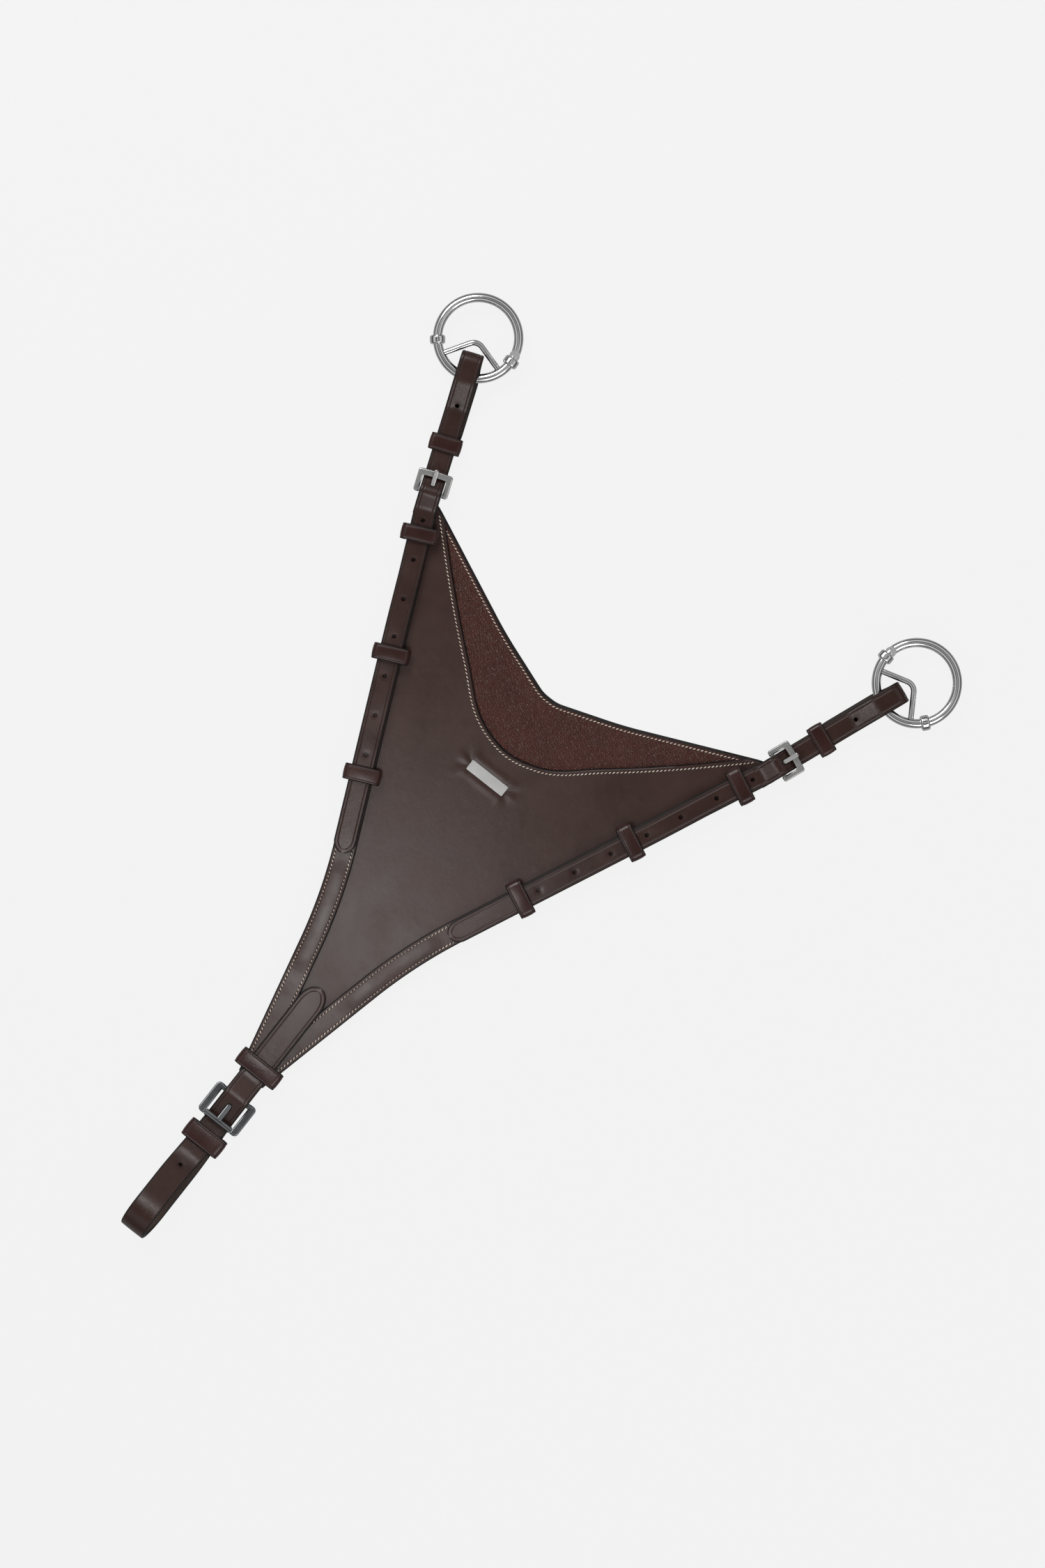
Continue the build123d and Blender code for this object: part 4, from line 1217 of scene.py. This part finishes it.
def make_metal():
    paint("blank_plate", PLATE_METAL)
    for node in ("chest_buckle_frame", "chest_buckle_prong", "chest_roller"):
        paint(node, GUNMETAL)
    for side in SIDES:
        for node in ("ring_body", "ring_gate", "gate_pin"):
            paint(f"{side}_{node}", CHROME)
        for node in ("buckle_frame", "buckle_prong"):
            paint(f"{side}_{node}", SATIN)
        paint(side + "_gate_spring", SPRING)


# =======================================================================================
# studio
# =======================================================================================
def make_floor():
    half, drop = 3.0, 0.4 * MM
    mesh = bpy.data.meshes.new("floor")
    corners = [(-half, -half, -drop), (half, -half, -drop), (half, half, -drop), (-half, half, -drop)]
    mesh.from_pydata(corners, [], [(0, 1, 2, 3)])
    floor = bpy.data.objects.new("floor", mesh)
    bpy.context.scene.collection.objects.link(floor)
    material = bpy.data.materials.new("floor_pale")
    material.use_nodes = True
    nodes, links = material.node_tree.nodes, material.node_tree.links
    nodes.clear()
    out, both = nodes.new("ShaderNodeOutputMaterial"), nodes.new("ShaderNodeAddShader")
    glow, dull = nodes.new("ShaderNodeEmission"), nodes.new("ShaderNodeBsdfDiffuse")
    glow.inputs["Color"].default_value = (1, 1, 1, 1)
    glow.inputs["Strength"].default_value = FLOOR_GLOW
    dull.inputs["Color"].default_value = (FLOOR_DULL, FLOOR_DULL, FLOOR_DULL, 1)
    links.new(glow.outputs[0], both.inputs[0])
    links.new(dull.outputs[0], both.inputs[1])
    links.new(both.outputs[0], out.inputs["Surface"])
    mesh.materials.append(material)
    floor.visible_glossy = False


FLOOR_GLOW, FLOOR_DULL = 0.865, 0.03
BACKDROP = 0.90
# Brightness of the studio round the part, by the sine of the height above the horizon.
STUDIO_BANDS = (
    (-1.0, 0.34), (-0.45, 0.48), (-0.10, 0.22), (0.04, 0.05), (0.26, 0.08), (0.42, 0.58), (0.78, 0.80),
    (0.89, 0.16), (1.0, 0.05),
)


def make_world():
    world = bpy.data.worlds.new("studio")
    bpy.context.scene.world = world
    world.use_nodes = True
    tree = world.node_tree
    tree.nodes.clear()
    add, link = tree.nodes.new, tree.links.new
    coords, split, place = add("ShaderNodeTexCoord"), add("ShaderNodeSeparateXYZ"), add("ShaderNodeMapRange")
    place.inputs["From Min"].default_value = -1.0
    link(coords.outputs["Generated"], split.inputs[0])
    link(split.outputs["Z"], place.inputs["Value"])
    ramp = add("ShaderNodeValToRGB")
    while len(ramp.color_ramp.elements) < len(STUDIO_BANDS):
        ramp.color_ramp.elements.new(0.5)
    for element, (height, light) in zip(ramp.color_ramp.elements, STUDIO_BANDS):
        element.position = (height + 1) / 2
        element.color = (light, light, light, 1)
    link(place.outputs[0], ramp.inputs["Fac"])
    seen, round_about = add("ShaderNodeBackground"), add("ShaderNodeBackground")
    pick = add("ShaderNodeMixShader")
    seen.inputs["Color"].default_value = (BACKDROP, BACKDROP, BACKDROP, 1)
    link(ramp.outputs["Color"], round_about.inputs["Color"])
    link(add("ShaderNodeLightPath").outputs["Is Camera Ray"], pick.inputs[0])
    link(round_about.outputs[0], pick.inputs[1])
    link(seen.outputs[0], pick.inputs[2])
    link(pick.outputs[0], add("ShaderNodeOutputWorld").inputs["Surface"])


def softbox(name, place, aim, size, power, only=None):
    """A soft rectangular light. only names the materials whose pieces it lights, if not all of them."""
    light = bpy.data.lights.new(name, "AREA")
    light.shape = "RECTANGLE"
    light.size, light.size_y = size
    light.energy = power
    obj = bpy.data.objects.new(name, light)
    bpy.context.scene.collection.objects.link(obj)
    obj.location = place
    obj.rotation_euler = (Vector(aim) - Vector(place)).to_track_quat("-Z", "Y").to_euler()
    if only:
        lit = bpy.data.collections.new(name + "_receivers")
        for piece in bpy.context.scene.objects:
            if piece.type == "MESH" and any(slot.material in only for slot in piece.material_slots):
                lit.objects.link(piece)
        obj.light_linking.receiver_collection = lit


def make_lights():
    softbox("key", (-1.25, 0.75, 1.25), (0, 0.05, 0), (1.1, 0.8), 22)
    softbox("fill", (1.3, -0.5, 1.3), (0, 0, 0), (1.0, 1.0), 9)
    receivers = (PANEL_LEATHER, STRAP_LEATHER, KEEPER_LEATHER, LINING_LEATHER, PLATE_METAL)
    softbox("sheen", (-0.012, -0.085, 0.42), (-0.012, -0.085, 0), (0.15, 0.12), 0.55, receivers)
    softbox("gleam", (0, 0.3, 1.2), (0, 0.3, 0), (0.8, 0.35), 0.4, (CHROME,))


def make_camera():
    target, distance, level = Vector((0.0180, 0.0638, 0.0)), 4.0, 0.007
    up = Vector((-0.618, 0.786, 0.0)).normalized()
    camera = bpy.data.cameras.new("camera")
    camera.sensor_fit = "VERTICAL"
    camera.sensor_height = 36.0
    camera.lens = camera.sensor_height * (distance - level) / 0.900
    camera.clip_start = 0.01
    obj = bpy.data.objects.new("camera", camera)
    bpy.context.scene.collection.objects.link(obj)
    obj.location = target + Vector((0, 0, distance))
    right = up.cross(Vector((0, 0, 1)))
    obj.rotation_euler = Matrix((right, up, (0, 0, 1))).transposed().to_euler()
    bpy.context.scene.camera = obj
    bpy.context.scene.view_settings.view_transform = "Standard"


make_bib()
make_strips()
for arm in ARMS.values():
    make_arm_strap(arm)
    make_fixed_keepers(arm)
    make_running_keeper(arm)
    hinge = Vector(JOINTS[arm.side + "_buckle_tilt"]["pos_m"])
    make_chape(
        arm.side + "_chape_leather", arm.side + "_chape", tuple(arm.corner), arm.d, arm.u,
        (hinge - arm.corner).dot(arm.d), hinge.z, 2.9 * MM, 1.5 * MM, 12.6 * MM, 3.4 * MM, -3.0 * MM,
        4.9 * MM, "bib",
    )
make_chape(
    "chest_chape_leather", "chest_chape", (0, 0, 0), (0, 1, 0), (1, 0, 0), CHEST_HINGE.y, CHEST_HINGE.z,
    3.35 * MM, 1.6 * MM, 15.6 * MM, 3.6 * MM, -166.5 * MM, 5.4 * MM, "chest_strap",
)
make_chest_strap()
make_chest_keepers()
make_metal()
make_floor()
make_world()
make_lights()
make_camera()
